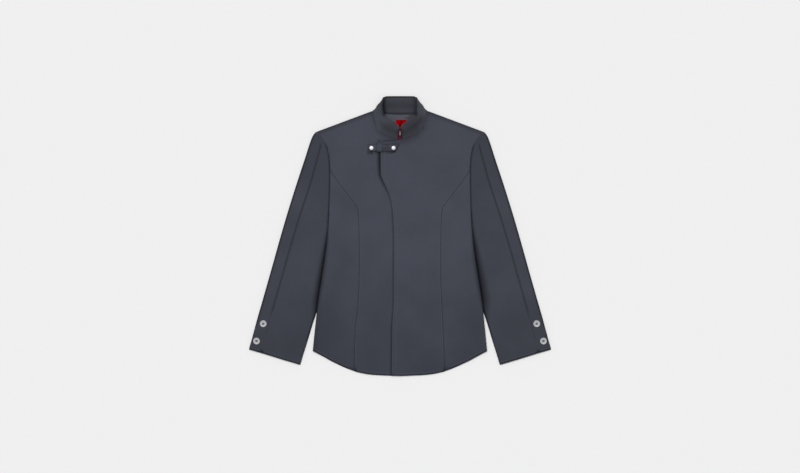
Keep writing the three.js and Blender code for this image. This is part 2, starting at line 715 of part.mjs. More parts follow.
// Facing inside the back neck, with the label sewn on it.
function insideBackNeck(neckY) {
  const { topHalf, lowHalf, lowY, bow, belowNeck } = FACING;
  const left = (v) => [-mix(lowHalf, topHalf, v), mix(lowY, neckY(topHalf), v)];
  const right = (v) => [-left(v)[0], left(v)[1]];
  const bottom = (u) => [mix(-lowHalf, lowHalf, u), lowY - bow * sin(PI * u)];
  const top = (u) => {
    const x = mix(-topHalf, topHalf, u);
    return [x, neckY(abs(x)) - belowNeck];
  };
  const shape = patch({ left, right, bottom, top, fade: 1 });
  const grid = gridOn(shape, evenSteps(5), () => evenSteps(10));
  const under = (x, y) => backUnderZ(x, y) + BODY_CLOTH + REST_GAP;
  addPiece("back_neck_facing", layer(grid, under, FACING_CLOTH), MATERIALS.lining);

  const labelGrid = evenSteps(4).map((v) =>
    evenSteps(3).map((u) => [mix(LABEL.fromX, LABEL.toX, u), mix(LABEL.fromY, LABEL.toY, v)]),
  );
  const onFacing = (x, y) => under(x, y) + FACING_CLOTH + REST_GAP;
  addPiece("label", layer(labelGrid, onFacing, LABEL_CLOTH), MATERIALS.label);
}

// Zip tape, flat down the front and sloping up between the collar's ends.
function zipTape() {
  const across = [-1, 0, 1];
  const outer = ZIP_SECTIONS.map(({ y, z, half }) => across.map((side) => [side * half, y, z]));
  const inner = outer.map((row, r) =>
    row.map((point, c) => {
      const normal = gridNormal(outer, r, c);
      return point.map((value, i) => value - normal[i] * TAPE_CLOTH);
    }),
  );
  addPiece("zip_tape", wall(outer, inner), MATERIALS.tape);
}

// The solids that are joined or cut, each from a closed three.js geometry.
function solidOf(geometry) {
  const plain = geometry.clone();
  plain.deleteAttribute("normal");
  plain.deleteAttribute("uv");
  const merged = mergeVertices(plain, 1e-4);
  return new wasm.Manifold(
    new wasm.Mesh({
      numProp: 3,
      vertProperties: merged.attributes.position.array,
      triVerts: new Uint32Array(merged.index.array),
    }),
  );
}

function geometryOf(solid) {
  const mesh = solid.getMesh();
  const geometry = new THREE.BufferGeometry();
  geometry.setAttribute("position", new THREE.BufferAttribute(new Float32Array(mesh.vertProperties), 3));
  geometry.setIndex(new THREE.BufferAttribute(mesh.triVerts, 1));
  return geometry;
}

const box = (width, length, height, x, y, z) =>
  new THREE.BoxGeometry(width, length, height).translate(x, y, z);

// A flat plate with rounded corners, from a height upwards.
function plate(width, length, thick, corner, y, z) {
  const [halfWidth, halfLength] = [width / 2, length / 2];
  const outline = new THREE.Shape();
  outline.moveTo(halfWidth - corner, -halfLength);
  outline.quadraticCurveTo(halfWidth, -halfLength, halfWidth, -halfLength + corner);
  outline.lineTo(halfWidth, halfLength - corner);
  outline.quadraticCurveTo(halfWidth, halfLength, halfWidth - corner, halfLength);
  outline.lineTo(-halfWidth + corner, halfLength);
  outline.quadraticCurveTo(-halfWidth, halfLength, -halfWidth, halfLength - corner);
  outline.lineTo(-halfWidth, -halfLength + corner);
  outline.quadraticCurveTo(-halfWidth, -halfLength, -halfWidth + corner, -halfLength);
  const options = { depth: thick, bevelEnabled: false, curveSegments: 3 };
  return new THREE.ExtrudeGeometry(outline, options).translate(0, y, z);
}

// Slider: two plates round the tape, joined by a post past its end, with a bridge on top.
function slider(group) {
  const { width, length, plate: thick, corner, post, postInset } = SLIDER;
  const { bridge, leg, legAt, roof, barPlay } = SLIDER;
  const topZ = REST_GAP;
  const underZ = -TAPE_CLOTH - REST_GAP - thick;
  const postHeight = topZ + thick / 2 - underZ;
  const postY = length / 2 - post / 2 - postInset;
  const roofZ = PULL.axisZ + PULL.bar + barPlay + roof / 2;
  const legHeight = roofZ - topZ;
  const solid = wasm.Manifold.union(
    [
      plate(width, length, thick, corner, 0, topZ),
      plate(width, length, thick, corner, 0, underZ),
      box(post, post, postHeight, 0, postY, underZ + postHeight / 2),
      box(bridge, leg, legHeight, 0, legAt, topZ + legHeight / 2),
      box(bridge, leg, legHeight, 0, -legAt, topZ + legHeight / 2),
      box(bridge, legAt * 2 + leg, roof, 0, 0, roofZ),
    ].map(solidOf),
  );
  addPiece("zip_slider", geometryOf(solid), MATERIALS.metal, group);
}

// Pull tab: a plate that hangs from a bar under the bridge, lying down the slope.
function pullTab(group) {
  const { width, length, thick, corner, window, windowLength, railEnd, hole, bar, axisZ } = PULL;
  const tabPlate = plate(width, length, thick, corner, railEnd - length / 2, axisZ - thick / 2);
  const fork = box(window, windowLength, thick * 2, 0, railEnd + 1 - windowLength / 2, axisZ);
  const eye = new THREE.CylinderGeometry(hole, hole, thick * 2, 10).rotateX(PI / 2);
  const pin = new THREE.CylinderGeometry(bar, bar, window + 1, 8).rotateZ(PI / 2);
  const solid = solidOf(tabPlate)
    .subtract(solidOf(fork))
    .subtract(solidOf(eye.translate(0, railEnd - length + width / 2, axisZ)))
    .add(solidOf(pin.translate(0, 0, axisZ)));
  addPiece("zip_pull", geometryOf(solid), MATERIALS.metal, group);
}

function zipSlider() {
  const group = new THREE.Group();
  group.position.set(0, SLIDER.y, SLIDER.z);
  group.rotation.x = COLLAR_SLOPE;
  part.add(group);
  slider(group);
  pullTab(group);
}

// The surface that the tab lies on, climbing from the right front onto the lap.
function seatZ(x, y) {
  const climb = smooth((x - TAB_CLIMB.fromX) / (TAB_CLIMB.toX - TAB_CLIMB.fromX));
  return mix(frontTopZ(x, y), lapTopZ(max(x, TAB_CLIMB.toX), y), climb) + REST_GAP;
}
const tabTopZ = (x, y) => seatZ(x, y) + TAB_CLOTH;

// Tab with its two ends cut square and their corners rounded.
function tab() {
  const middle = (TAB.fromY + TAB.toY) / 2;
  const halfAt = (x) => {
    const toEnd = min(x - TAB.fromX, TAB.toX - x, TAB.corner);
    const cut = TAB.corner - sqrt(TAB.corner ** 2 - (TAB.corner - toEnd) ** 2);
    return (TAB.toY - TAB.fromY) / 2 - cut;
  };
  const grid = TAB_STEPS.map((step) => {
    const x = TAB.fromX + step;
    return evenSteps(4).map((u) => [x, middle + mix(-1, 1, u) * halfAt(x)]);
  });
  addPiece("tab", layer(grid, seatZ, TAB_CLOTH), MATERIALS.cloth);
}

// Keeper: a loop of cloth over the tab, sewn down on either side of it.
function keeper() {
  const { fromX, toX, middleY, cloth, slopeFrom, slope } = KEEPER;
  const halfTab = (TAB.toY - TAB.fromY) / 2;
  const under = (x, y) => {
    const over = smooth((halfTab + slopeFrom - abs(y - middleY)) / slope);
    return seatZ(x, y) + over * (TAB_CLOTH + REST_GAP);
  };
  const below = KEEPER_STEPS.slice(1).map((step) => -step);
  const grid = [...below.toReversed(), ...KEEPER_STEPS].map((step) =>
    evenSteps(5).map((u) => [mix(fromX, toX, u), middleY + step]),
  );
  addPiece("tab_keeper", layer(grid, under, cloth), MATERIALS.cloth);
}

// Snap caps: domes with a rolled rim, one on each end of the tab.
function snaps() {
  const { radius, height, y, gap } = SNAP;
  const profile = [
    [0, 0],
    [radius * 0.94, 0],
    [radius, 0.5],
    [radius * 0.94, 1],
    [radius * 0.8, height * 0.62],
    [radius * 0.5, height * 0.9],
    [0, height],
  ].map(([r, z]) => new THREE.Vector2(r, z));
  SNAP.x.forEach((x, i) => {
    const cap = new THREE.LatheGeometry(profile, 18).rotateX(PI / 2);
    cap.translate(x, y, tabTopZ(x, y) + gap);
    addPiece("snap_cap_" + ["right", "left"][i], geometryOf(solidOf(cap)), MATERIALS.metal);
  });
}

// Four-hole buttons with a raised rim, two on each cuff's outer strip.
function cuffButtons() {
  const { radius, height, dish, holeAt, holeRadius } = BUTTON;
  const profile = [
    [0, 0],
    [radius * 0.8, 0],
    [radius, height * 0.4],
    [radius * 0.97, height * 0.8],
    [radius * 0.86, height],
    [radius * 0.72, height * 0.95],
    [radius * 0.6, height - dish],
    [0, height - dish],
  ].map(([r, z]) => new THREE.Vector2(r, z));
  const blank = solidOf(new THREE.LatheGeometry(profile, 20).rotateX(PI / 2));
  const drilled = [45, 135, 225, 315].reduce((solid, degrees) => {
    const angle = (degrees * PI) / 180;
    const drill = new THREE.CylinderGeometry(holeRadius, holeRadius, height * 3, 6).rotateX(PI / 2);
    return solid.subtract(solidOf(drill.translate(holeAt * cos(angle), holeAt * sin(angle), 0)));
  }, blank);
  for (const { name, x, y } of BUTTON_PLACES) {
    for (const [sideName, side] of [["left", 1], ["right", -1]]) {
      const button = geometryOf(drilled);
      button.translate(x * side, y, sleeveTopZ(x, y) + REST_GAP);
      addPiece("cuff_button_" + name + "_" + sideName, button, MATERIALS.button);
    }
  }
}

const backNeckY = back();
sideFronts();
rightFront();
zipTape();
leftFront();
sleeves();
collar();
insideBackNeck(backNeckY);
zipSlider();
tab();
keeper();
snaps();
cuffButtons();

export default part;
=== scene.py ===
import math

import bmesh
import bpy
import numpy as np
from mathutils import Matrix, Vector
from mathutils.bvhtree import BVHTree
from mathutils.kdtree import KDTree


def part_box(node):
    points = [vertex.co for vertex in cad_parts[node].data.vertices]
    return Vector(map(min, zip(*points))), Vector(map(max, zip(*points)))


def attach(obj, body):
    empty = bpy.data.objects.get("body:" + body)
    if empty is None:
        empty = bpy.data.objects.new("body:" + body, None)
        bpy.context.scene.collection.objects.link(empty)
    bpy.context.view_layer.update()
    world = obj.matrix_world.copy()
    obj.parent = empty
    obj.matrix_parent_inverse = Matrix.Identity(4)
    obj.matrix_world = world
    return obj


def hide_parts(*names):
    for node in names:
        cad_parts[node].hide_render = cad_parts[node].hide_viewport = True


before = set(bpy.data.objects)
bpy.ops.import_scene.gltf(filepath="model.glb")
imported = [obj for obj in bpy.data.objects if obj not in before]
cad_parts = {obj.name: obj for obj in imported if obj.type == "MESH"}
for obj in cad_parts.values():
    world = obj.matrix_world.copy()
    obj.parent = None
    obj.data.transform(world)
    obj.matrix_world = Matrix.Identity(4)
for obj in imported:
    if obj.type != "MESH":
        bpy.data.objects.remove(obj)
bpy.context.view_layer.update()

MM = 0.001

# Camera
# The photograph is taken from straight above, from so far away that the sides of the collar hardly
# show. The image is 2.2 m wide at the height of the cloth.
VIEW_WIDTH = 2200
CAMERA_HEIGHT = 7000
VIEW_CENTRE_Y = -0.2
CLOTH_HEIGHT = 7
SENSOR_WIDTH = 36
FAR_CLIP = 100  # in metres

camera_data = bpy.data.cameras.new("camera")
camera_data.sensor_width = SENSOR_WIDTH
camera_data.lens = SENSOR_WIDTH * (CAMERA_HEIGHT - CLOTH_HEIGHT) / VIEW_WIDTH
camera_data.clip_end = FAR_CLIP
camera = bpy.data.objects.new("camera", camera_data)
bpy.context.collection.objects.link(camera)
camera.location = (0, VIEW_CENTRE_Y * MM, CAMERA_HEIGHT * MM)
bpy.context.scene.camera = camera

# Back
# One panel of cotton twill from side seam to side seam, cut with a shirt-tail hem. It lies on the
# table, and its sides rise over the sleeves. The other panels use the same functions and cloth.
MERGE_DISTANCE = 1e-6  # in metres
SHARP_ANGLE = math.radians(60)
SMOOTH_ANGLE = math.radians(50)
CORNER_TURN = math.radians(20)  # a cut edge that turns more than this has a corner there
EDGE_CELL = 4.5  # cells wider than this beside a cut edge are halved
RIM_SPACING = 0.8  # between the points that distances to a cut edge are measured from
LET_OUT = 0.35  # how far cut edges move out, so that pieces sewn to each other meet
ARMHOLE_X = 208  # the sleeves' edges that lie nearer the middle than this are sewn into the armholes
# A normal less upright than the first of these is on the side of a fold. One more upright than the
# others is on turned-down cloth, on a cell beside a cut edge, and on the level face at the edge.
SIDE_ON = 0.35
SLOPING = 0.1
UPPER = 0.2
LEVEL = 0.5

TWILL = "#42444e"
RIB_PITCH = 1.1  # from one diagonal rib of the twill to the next, twice the real one so that it shows
RIB_DEPTH = 0.12
YARNS = 900  # to a metre, which is one yarn every 1.1 mm
YARN_SCALE = (1, 0.12, 1)  # so that they are drawn out along the warp
DYE_PATCHES = 9  # to a metre
TWILL_CONTRAST = 0.1  # the share by which it is darker and lighter in places
WAVE_PERIOD = 2 * math.pi / 20  # of Blender's wave bands, in units at scale 1
BODY_LIGHT_MIDDLE = (0, 170)  # the colour is painted lightest here, a painted light, and darker towards the far hem and cuffs
BODY_LIGHT_NEAR = (180, 1.03)  # the share of its colour that the painted light leaves, from this near to there
BODY_LIGHT_FAR = (560, 0.8)  # and from this far away

CREASE_STEP = 10  # between the points along a crease
LEAST_WIDTH = 0.1  # of a crease or a shadow
MOST_SHADE = 0.95  # the share of its light that a point can lose

# Creases that the cloth keeps from having been folded and worn. Rows are x, y, half width, height.
BACK_CREASES = [
    [(-150, 200, 10, 0), (-100, 170, 14, 1.2), (-40, 160, 12, 0.8), (10, 170, 10, 0)],
    [(160, 190, 9, 0), (120, 150, 12, 1.1), (90, 90, 10, 0)],
    [(-60, 90, 12, 0), (-70, 0, 16, 1.3), (-58, -110, 14, 0.9), (-66, -180, 12, 0)],
    [(50, 60, 12, 0), (64, -40, 15, 1.1), (52, -150, 12, 0)],
    [(-150, -120, 10, 0), (-140, -190, 13, 1.2), (-152, -250, 10, 0)],
    [(120, -140, 10, 0), (132, -200, 13, 1.0), (118, -280, 10, 0)],
    [(-30, -250, 10, 0), (30, -268, 14, 1.2), (90, -262, 10, 0)],
    [(-110, -300, 9, 0), (-60, -318, 12, 0.9), (-20, -310, 9, 0)],
]
# How far the hem has moved up from where it was cut. Rows are x and the move.
HEM_SHIFT = [(-240, -0.8), (-199, -1.6), (-150, -3.2), (-100, -1.9), (-60, -0.3), (0, 1.4)]
HEM_SHIFT += [(60, -0.6), (100, -1.3), (135, -2.5), (197, -1.8), (240, -0.8)]
# How far its sides have moved out, the wearer's left one by a smaller share. Rows are y and the move.
SIDE_SHIFT = [(-335, 0.6), (-285, 1.0), (-257, 0.8), (-215, 0)]
LEFT_SIDE_SHARE = 0.45
# A band is where a change starts, and how far on it is whole. That is negative where it grows
# downwards or towards the middle.
HEM_SHIFT_BAND = (-290, -50)
SIDE_SHIFT_BAND = (200, 25)


def linear(hex_colour):
    """A colour's sRGB hex value as the linear RGBA that a shader takes."""
    channels = [int(hex_colour[i : i + 2], 16) / 255 for i in (1, 3, 5)]
    return [c / 12.92 if c <= 0.04045 else ((c + 0.055) / 1.055) ** 2.4 for c in channels] + [1]


def shades_of(colour, contrast):
    """A colour made darker and lighter by a share."""
    base = linear(colour)[:3]
    return [c * (1 - contrast) for c in base] + [1], [min(1, c * (1 + contrast)) for c in base] + [1]


def add_node(material, kind, inputs=(), **settings):
    """Adds a node to a material. Its inputs are values, or outputs of other nodes to link."""
    made = material.node_tree.nodes.new("ShaderNode" + kind)
    for name, value in settings.items():
        setattr(made, name, value)
    for name, value in dict(inputs).items():
        if isinstance(value, bpy.types.NodeSocket):
            material.node_tree.links.new(value, made.inputs[name])
        else:
            made.inputs[name].default_value = value
    return made


def new_material(name, surface):
    """A material with one Principled shader, with the values that are the same all over it."""
    material = bpy.data.materials.new(name)
    material.use_nodes = True
    shader = material.node_tree.nodes["Principled BSDF"]
    for socket, value in surface.items():
        shader.inputs[socket].default_value = value
    return material, shader


def between(material, share, low, high):
    """A colour between two others."""
    made = add_node(material, "Mix", {"Factor": share, "A": low, "B": high}, data_type="RGBA")
    return made.outputs["Result"]


def times(material, colour, value):
    """A colour times a value."""
    inputs = {"Factor": 1, "A": colour, "B": value}
    made = add_node(material, "Mix", inputs, data_type="RGBA", blend_type="MULTIPLY")
    return made.outputs["Result"]


def turned(material, place, degrees):
    """Places turned by some degrees, seen from above."""
    inputs = {"Vector": place, "Rotation": (0, 0, math.radians(degrees))}
    return add_node(material, "Mapping", inputs).outputs["Vector"]


def noise(material, place, scale, detail):
    """Cloudy values, with so many clouds to a metre."""
    inputs = {"Vector": place, "Scale": scale, "Detail": detail}
    return add_node(material, "TexNoise", inputs).outputs["Fac"]


def bands(material, place, pitch, distortion, detail=2, **settings):
    """Soft bands at a pitch."""
    inputs = {"Vector": place, "Scale": WAVE_PERIOD / (pitch * MM), "Distortion": distortion}
    inputs["Detail"] = detail
    return add_node(material, "TexWave", inputs, **settings).outputs["Fac"]


def with_share(material, value, share, more):
    """A value with a share of another added to it."""
    inputs = {0: more, 1: share, 2: value}
    return add_node(material, "Math", inputs, operation="MULTIPLY_ADD").outputs["Value"]


def stretched(material, value, low, high, new_low=0, new_high=1):
    """A value that runs between two limits, made to run between two others."""
    inputs = {"Value": value, "From Min": low, "From Max": high, "To Min": new_low, "To Max": new_high}
    return add_node(material, "MapRange", inputs).outputs["Result"]


def paint(material, shader, colour):
    """Links a colour to a shader, and dims it by the painted shade that the points of a piece hold."""
    shade = add_node(material, "Attribute", attribute_name="shade").outputs["Fac"]
    lit = add_node(material, "Math", {0: 1, 1: shade}, operation="SUBTRACT").outputs["Value"]
    material.node_tree.links.new(times(material, colour, lit), shader.inputs["Base Color"])


def emboss(material, shader, height, strength, depth):
    """Links a relief to a shader."""
    inputs = {"Height": height, "Strength": strength, "Distance": depth * MM}
    bump = add_node(material, "Bump", inputs).outputs["Normal"]
    material.node_tree.links.new(bump, shader.inputs["Normal"])


def twill(name, colour, turn=0, middle=BODY_LIGHT_MIDDLE, near=BODY_LIGHT_NEAR, far=BODY_LIGHT_FAR):
    """Slate cotton twill, piece-dyed and lightly brushed, with its warp turned by some degrees.
    It is matte, with fine diagonal ribs, yarns that took the dye a little unevenly, and a faint
    sheen at low angles. Its colour is painted darker away from its middle, as painted light."""
    surface = {"Roughness": 0.88, "Specular IOR Level": 0.05, "Sheen Weight": 0.04, "Sheen Roughness": 0.5}
    material, shader = new_material(name, surface)
    place = add_node(material, "TexCoord").outputs["Object"]
    along = turned(material, place, turn)
    ribs = bands(material, turned(material, place, turn + 45), RIB_PITCH, distortion=0.6, detail=1)
    drawn = add_node(material, "Mapping", {"Vector": along, "Scale": YARN_SCALE}).outputs["Vector"]
    yarn = noise(material, drawn, YARNS, detail=2)
    dye = noise(material, along, DYE_PATCHES, detail=3)
    tone = stretched(material, with_share(material, dye, 0.35, yarn), 0.4, 0.95)
    centre = (middle[0] * MM, middle[1] * MM, 0)
    # The colour is painted darker with distance from the middle, as painted light that falls off.
    away = add_node(material, "VectorMath", {0: place, 1: centre}, operation="DISTANCE").outputs["Value"]
    (start, start_tone), (end, end_tone) = near, far
    painted_light_falloff = stretched(material, away, start * MM, end * MM, start_tone, end_tone)
    dark, light = shades_of(colour, TWILL_CONTRAST)
    paint(material, shader, times(material, between(material, tone, dark, light), painted_light_falloff))
    emboss(material, shader, with_share(material, ribs, 0.5, yarn), strength=0.35, depth=RIB_DEPTH)
    return material


def only_active(piece):
    """Makes a piece the only selected object and the active one."""
    bpy.ops.object.select_all(action="DESELECT")
    piece.select_set(True)
    bpy.context.view_layer.objects.active = piece


def select_parts(piece, kind, wanted):
    """In edit mode, selects the edges, points or faces that are wanted and nothing else."""
    bpy.ops.mesh.select_mode(type=kind)
    bpy.ops.mesh.select_all(action="DESELECT")
    mesh = bmesh.from_edit_mesh(piece.data)
    mesh.normal_update()
    for part in {"VERT": mesh.verts, "EDGE": mesh.edges, "FACE": mesh.faces}[kind]:
        part.select_set(wanted(part))
    bmesh.update_edit_mesh(piece.data)


def is_diagonal(edge):
    """An edge that is the longest of both triangles beside it, as a cell's diagonal is."""
    faces = edge.link_faces
    length = edge.calc_length()
    return all(len(face.edges) == 3 for face in faces) and all(
        length >= other.calc_length() for face in faces for other in face.edges
    )


def is_rim(edge):
    return len(edge.link_faces) == 2 and edge.calc_face_angle() > SHARP_ANGLE


def is_corner(vertex):
    """Where a cut edge turns sharply within the plane of the cloth."""
    rims = [edge.other_vert(vertex).co - vertex.co for edge in vertex.link_edges if is_rim(edge)]
    return len(rims) == 2 and math.pi - rims[0].angle(rims[1]) > CORNER_TURN


def beside_rim(edge):
    """A long edge of the upper face that runs in from its cut edge."""
    if edge.calc_length() < EDGE_CELL * MM or is_rim(edge):
        return False
    touching = [any(is_rim(other) for other in vertex.link_edges) for vertex in edge.verts]
    return sum(touching) == 1 and all(face.normal.z > UPPER for face in edge.link_faces)


def open_copy(node, ending):
    """A copy of a CAD solid, in edit mode, with its points joined and all of it selected."""
    piece = bpy.data.objects.new(node + ending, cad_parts[node].data.copy())
    bpy.context.collection.objects.link(piece)
    only_active(piece)
    bpy.ops.mesh.customdata_custom_splitnormals_clear()
    bpy.ops.object.mode_set(mode="EDIT")
    bpy.ops.mesh.select_all(action="SELECT")
    bpy.ops.mesh.remove_doubles(threshold=MERGE_DISTANCE)
    return piece


def carry_out(piece, kind, **settings):
    """Puts a modifier of a kind on a piece and applies it."""
    added = piece.modifiers.new(kind, kind)
    for name, value in settings.items():
        setattr(added, name, value)
    only_active(piece)
    bpy.ops.object.modifier_apply(modifier=added.name)


def finer_copy(node, levels, halvings=2):
    """A smooth copy of a CAD wall of cloth: its triangles are joined back into four-sided cells,
    the upper cells beside its cut edges are halved, and it is subdivided with its edges sharp."""
    piece = open_copy(node, "_cloth")
    select_parts(piece, "EDGE", is_diagonal)
    bpy.ops.mesh.dissolve_edges(use_verts=False)
    bpy.ops.mesh.select_all(action="SELECT")
    bpy.ops.mesh.tris_convert_to_quads()
    for _ in range(halvings):
        select_parts(piece, "EDGE", beside_rim)
        bpy.ops.mesh.subdivide(number_cuts=1, quadcorner="INNERVERT")
    select_parts(piece, "EDGE", is_rim)
    bpy.ops.transform.edge_crease(value=1)
    select_parts(piece, "VERT", is_corner)
    bpy.ops.transform.vert_crease(value=1)
    bpy.ops.object.mode_set(mode="OBJECT")
    carry_out(piece, "SUBSURF", levels=levels, render_levels=levels)
    return piece


def points_of(piece):
    """A piece's points in millimetres, one row each."""
    points = np.empty(len(piece.data.vertices) * 3)
    piece.data.vertices.foreach_get("co", points)
    return points.reshape(-1, 3) / MM


def move_points(piece, points):
    piece.data.vertices.foreach_set("co", (points * MM).ravel())
    piece.data.update()


def upper_rim(piece):
    """The upper cut edges of a piece, as pairs of points."""
    mesh = bmesh.new()
    mesh.from_mesh(piece.data)
    mesh.normal_update()
    lines = [
        [vertex.co / MM for vertex in edge.verts]
        for edge in mesh.edges
        if is_rim(edge) and max(face.normal.z for face in edge.link_faces) > LEVEL
    ]
    mesh.free()
    return lines


def let_out(piece, reach=LET_OUT, at_armhole=None):
    """Moves the cut edges of a piece out, so that it meets the pieces sewn to it."""
    mesh = bmesh.new()
    mesh.from_mesh(piece.data)
    mesh.normal_update()
    walls = {face for edge in mesh.edges if is_rim(edge) for face in edge.link_faces}
    moves = {}
    for face in walls:
        if abs(face.normal.z) < LEVEL:
            for vertex in face.verts:
                moves[vertex] = moves.get(vertex, Vector((0, 0, 0))) + face.normal
    for vertex, out in moves.items():
        out.z = 0
        on_armhole = at_armhole and abs(vertex.co.x) < ARMHOLE_X * MM
        if out.length > 0:
            vertex.co += out.normalized() * (at_armhole if on_armhole else reach) * MM
    mesh.to_mesh(piece.data)
    mesh.free()


def along_lines(lines):
    """Points close together along lines."""
    found = []
    for start, end in lines:
        steps = max(1, math.ceil((end - start).length / RIM_SPACING))
        found += [start.lerp(end, i / steps) for i in range(steps + 1)]
    return found


def shift_edges(points):
    """Moves points near the hem along y, and near the sides along x, to where the worn edges lie."""
    points[:, 1] += from_table(points[:, 0], HEM_SHIFT) * ramp(points[:, 1], HEM_SHIFT_BAND)
    out = from_table(points[:, 1], SIDE_SHIFT) * ramp(abs(points[:, 0]), SIDE_SHIFT_BAND)
    points[:, 0] += np.where(points[:, 0] > 0, LEFT_SIDE_SHARE, -1) * out


def distances(points, targets):
    """How far each point lies from the nearest of the targets, seen from above."""
    tree = KDTree(len(targets))
    for i, target in enumerate(targets):
        tree.insert((target[0], target[1], 0), i)
    tree.balance()
    return np.array([tree.find((point[0], point[1], 0))[2] for point in points])


def normals_of(piece):
    normals = np.empty(len(piece.data.vertices) * 3)
    piece.data.vertices.foreach_get("normal", normals)
    return normals.reshape(-1, 3)


def smooth(value):
    held = np.clip(value, 0, 1)
    return held * held * (3 - 2 * held)


def ramp(values, band):
    """0 before a band starts, rising smoothly to 1 where it is whole."""
    start, length = band
    return smooth((values - start) / length)


def from_table(values, rows):
    """What a table's second column has at values of its first."""
    return np.interp(values, *np.array(rows).T)


def turn_down(piece, lines, width, depth, lowest=0):
    """Rounds a piece's upper face down at cut edges, along a quarter of a circle."""
    points = points_of(piece)
    out = 1 - np.clip(distances(points, along_lines(lines)) / width, 0, 1)
    upper = (normals_of(piece)[:, 2] > SLOPING) & (points[:, 2] > lowest)
    points[:, 2] -= depth * (1 - np.sqrt(1 - out * out)) * upper
    move_points(piece, points)


def curve(rows, step):
    """Rows along a smooth curve through given rows, whose first two values are x and y."""
    table = np.array(rows, float)
    padded = np.vstack([2 * table[0] - table[1], table, 2 * table[-1] - table[-2]])
    made = [table[0]]
    for before, start, end, after in zip(padded, padded[1:], padded[2:], padded[3:]):
        count = max(1, math.ceil(np.linalg.norm(end[:2] - start[:2]) / step))
        for t in np.arange(1, count + 1) / count:
            pull = 2 * before - 5 * start + 4 * end - after
            turn = 3 * (start - end) + after - before
            made.append((2 * start + t * (end - before) + t * t * pull + t**3 * turn) / 2)
    return np.array(made)


def beside(points, rows):
    """Each point's distance from a line through rows, and the rows' other values nearest to it."""
    gap = np.full(len(points), np.inf)
    values = np.zeros((len(points), rows.shape[1] - 2))
    for start, end in zip(rows, rows[1:]):
        line = end[:2] - start[:2]
        share = np.clip(((points[:, :2] - start[:2]) @ line) / (line @ line), 0, 1)
        off = np.linalg.norm(points[:, :2] - start[:2] - share[:, None] * line, axis=1)
        nearer = off < gap
        gap[nearer] = off[nearer]
        values[nearer] = (start + share[:, None] * (end - start))[nearer, 2:]
    return gap, values


def within(points, rows, reach):
    """Which points lie in the box round rows, widened by a reach."""
    low, high = rows[:, :2].min(0) - reach, rows[:, :2].max(0) + reach
    return ((points[:, :2] > low) & (points[:, :2] < high)).all(axis=1)


def lift(points, creases):
    """How high creases raise points. Their rows are x, y, half width and height."""
    total = np.zeros(len(points))
    for crease in creases:
        rows = curve(crease, CREASE_STEP)
        near = within(points, rows, rows[:, 2].max())
        gap, values = beside(points[near], rows)
        width, height = values.T
        away = np.clip(gap / np.maximum(width, LEAST_WIDTH), 0, 1)
        total[near] += height * (1 + np.cos(math.pi * away)) / 2
    return total


def shadow(points, shadows):
    """The share of light lost to painted shade beside lines. Their rows are x, y, width and the share on
    the line.
    """
    left = np.ones(len(points))
    for shade in shadows:
        rows = np.array(shade, float)
        near = within(points, rows, rows[:, 2].max())
        gap, values = beside(points[near], rows)
        width, share = values.T
        left[near] *= 1 - share * np.clip(1 - gap / np.maximum(width, LEAST_WIDTH), 0, 1)
    return 1 - left


def edge_shade(points, lines, width, share):
    """The share of light lost to painted shade where cloth turns down at cut edges."""
    if not lines:
        return np.zeros(len(points))
    return share * (1 - np.clip(distances(points, along_lines(lines)) / width, 0, 1))


def set_shade(piece, *shares):
    """Stores the share of its light that each point of a piece has lost to painted shade, for its material.
    """
    left = np.ones(len(piece.data.vertices))
    for share in shares:
        left = left * (1 - share)
    layer = piece.data.attributes.new("shade", "FLOAT", "POINT")
    layer.data.foreach_set("value", np.clip(1 - left, 0, MOST_SHADE))


def dress(piece, material, slot, *nodes, body="garment"):
    """Gives a piece its finish and its place in the frame."""
    piece.data.materials.clear()
    piece.data.materials.append(material)
    only_active(piece)
    bpy.ops.object.shade_smooth_by_angle(angle=SMOOTH_ANGLE)
    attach(piece, body)
    if nodes:
        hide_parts(*nodes)


body_twill = twill("cotton twill, slate", TWILL)
back = finer_copy("back_body", 1, halvings=0)
back_points = points_of(back)
back_points[:, 2] += lift(back_points, BACK_CREASES)
shift_edges(back_points)
move_points(back, back_points)
let_out(back)
dress(back, body_twill, "cloth", "back_body")

# Side fronts
# Two narrow panels of the same twill, from the princess seams to the side seams. The seams are
# pressed open, so that each edge turns down into a fine groove. The hem is turned up and stitched.
SEAM_ROUND = 1.8
SEAM_DEPTH = 1.1
SEAM_SHADE = (1.6, 0.2)  # width, and the share of light lost to painted shade
HEM_SHADE = (4, 0.62)
SHOULDER_SHADE = (13, 0.42)
HEM_DROP = 1.6  # how much lower the cloth lies at the hem
HEM_SLOPE = 26  # and how far in it starts to fall
HEM_DROP_BAND = (205, -40)  # the hem doesn't drop beyond this x
HEM_TOP = -270  # level edges below this y are the hem's
SHOULDER_FOOT = 286  # level edges above this y, and beside the neck, are the shoulder's
NECK = (76, 266)  # edges nearer the middle and higher than this are the neck's
LAP_SWAY = -3.4  # how far the lap's edge has swung along x near the hem
LAP_SWAY_X = ((18, -36), (-100, 40))
LAP_SWAY_Y = (-190, -50)
SEAM_SWAY = -4.5  # and how far the right front's seam has
SEAM_SWAY_X = (-120, 34)  # round this x, over this reach
SEAM_SWAY_Y = ((-195, -60), (-378, 50))
SEAM_STITCH = 2.2  # from the princess seam
OVERHEAD = 100  # higher than any piece

STITCH_LENGTH = 2.5
STITCH_PITCH = 3.4
STITCH_WIDTH = 0.8
STITCH_HEIGHT = 0.5
THREAD = "#565963"
THREAD_TWISTS = 0.5
STITCH_STEP = 2  # where the cloth steps by more than this, a stitch is left out
HEM_STITCH = 6.5  # from the hem

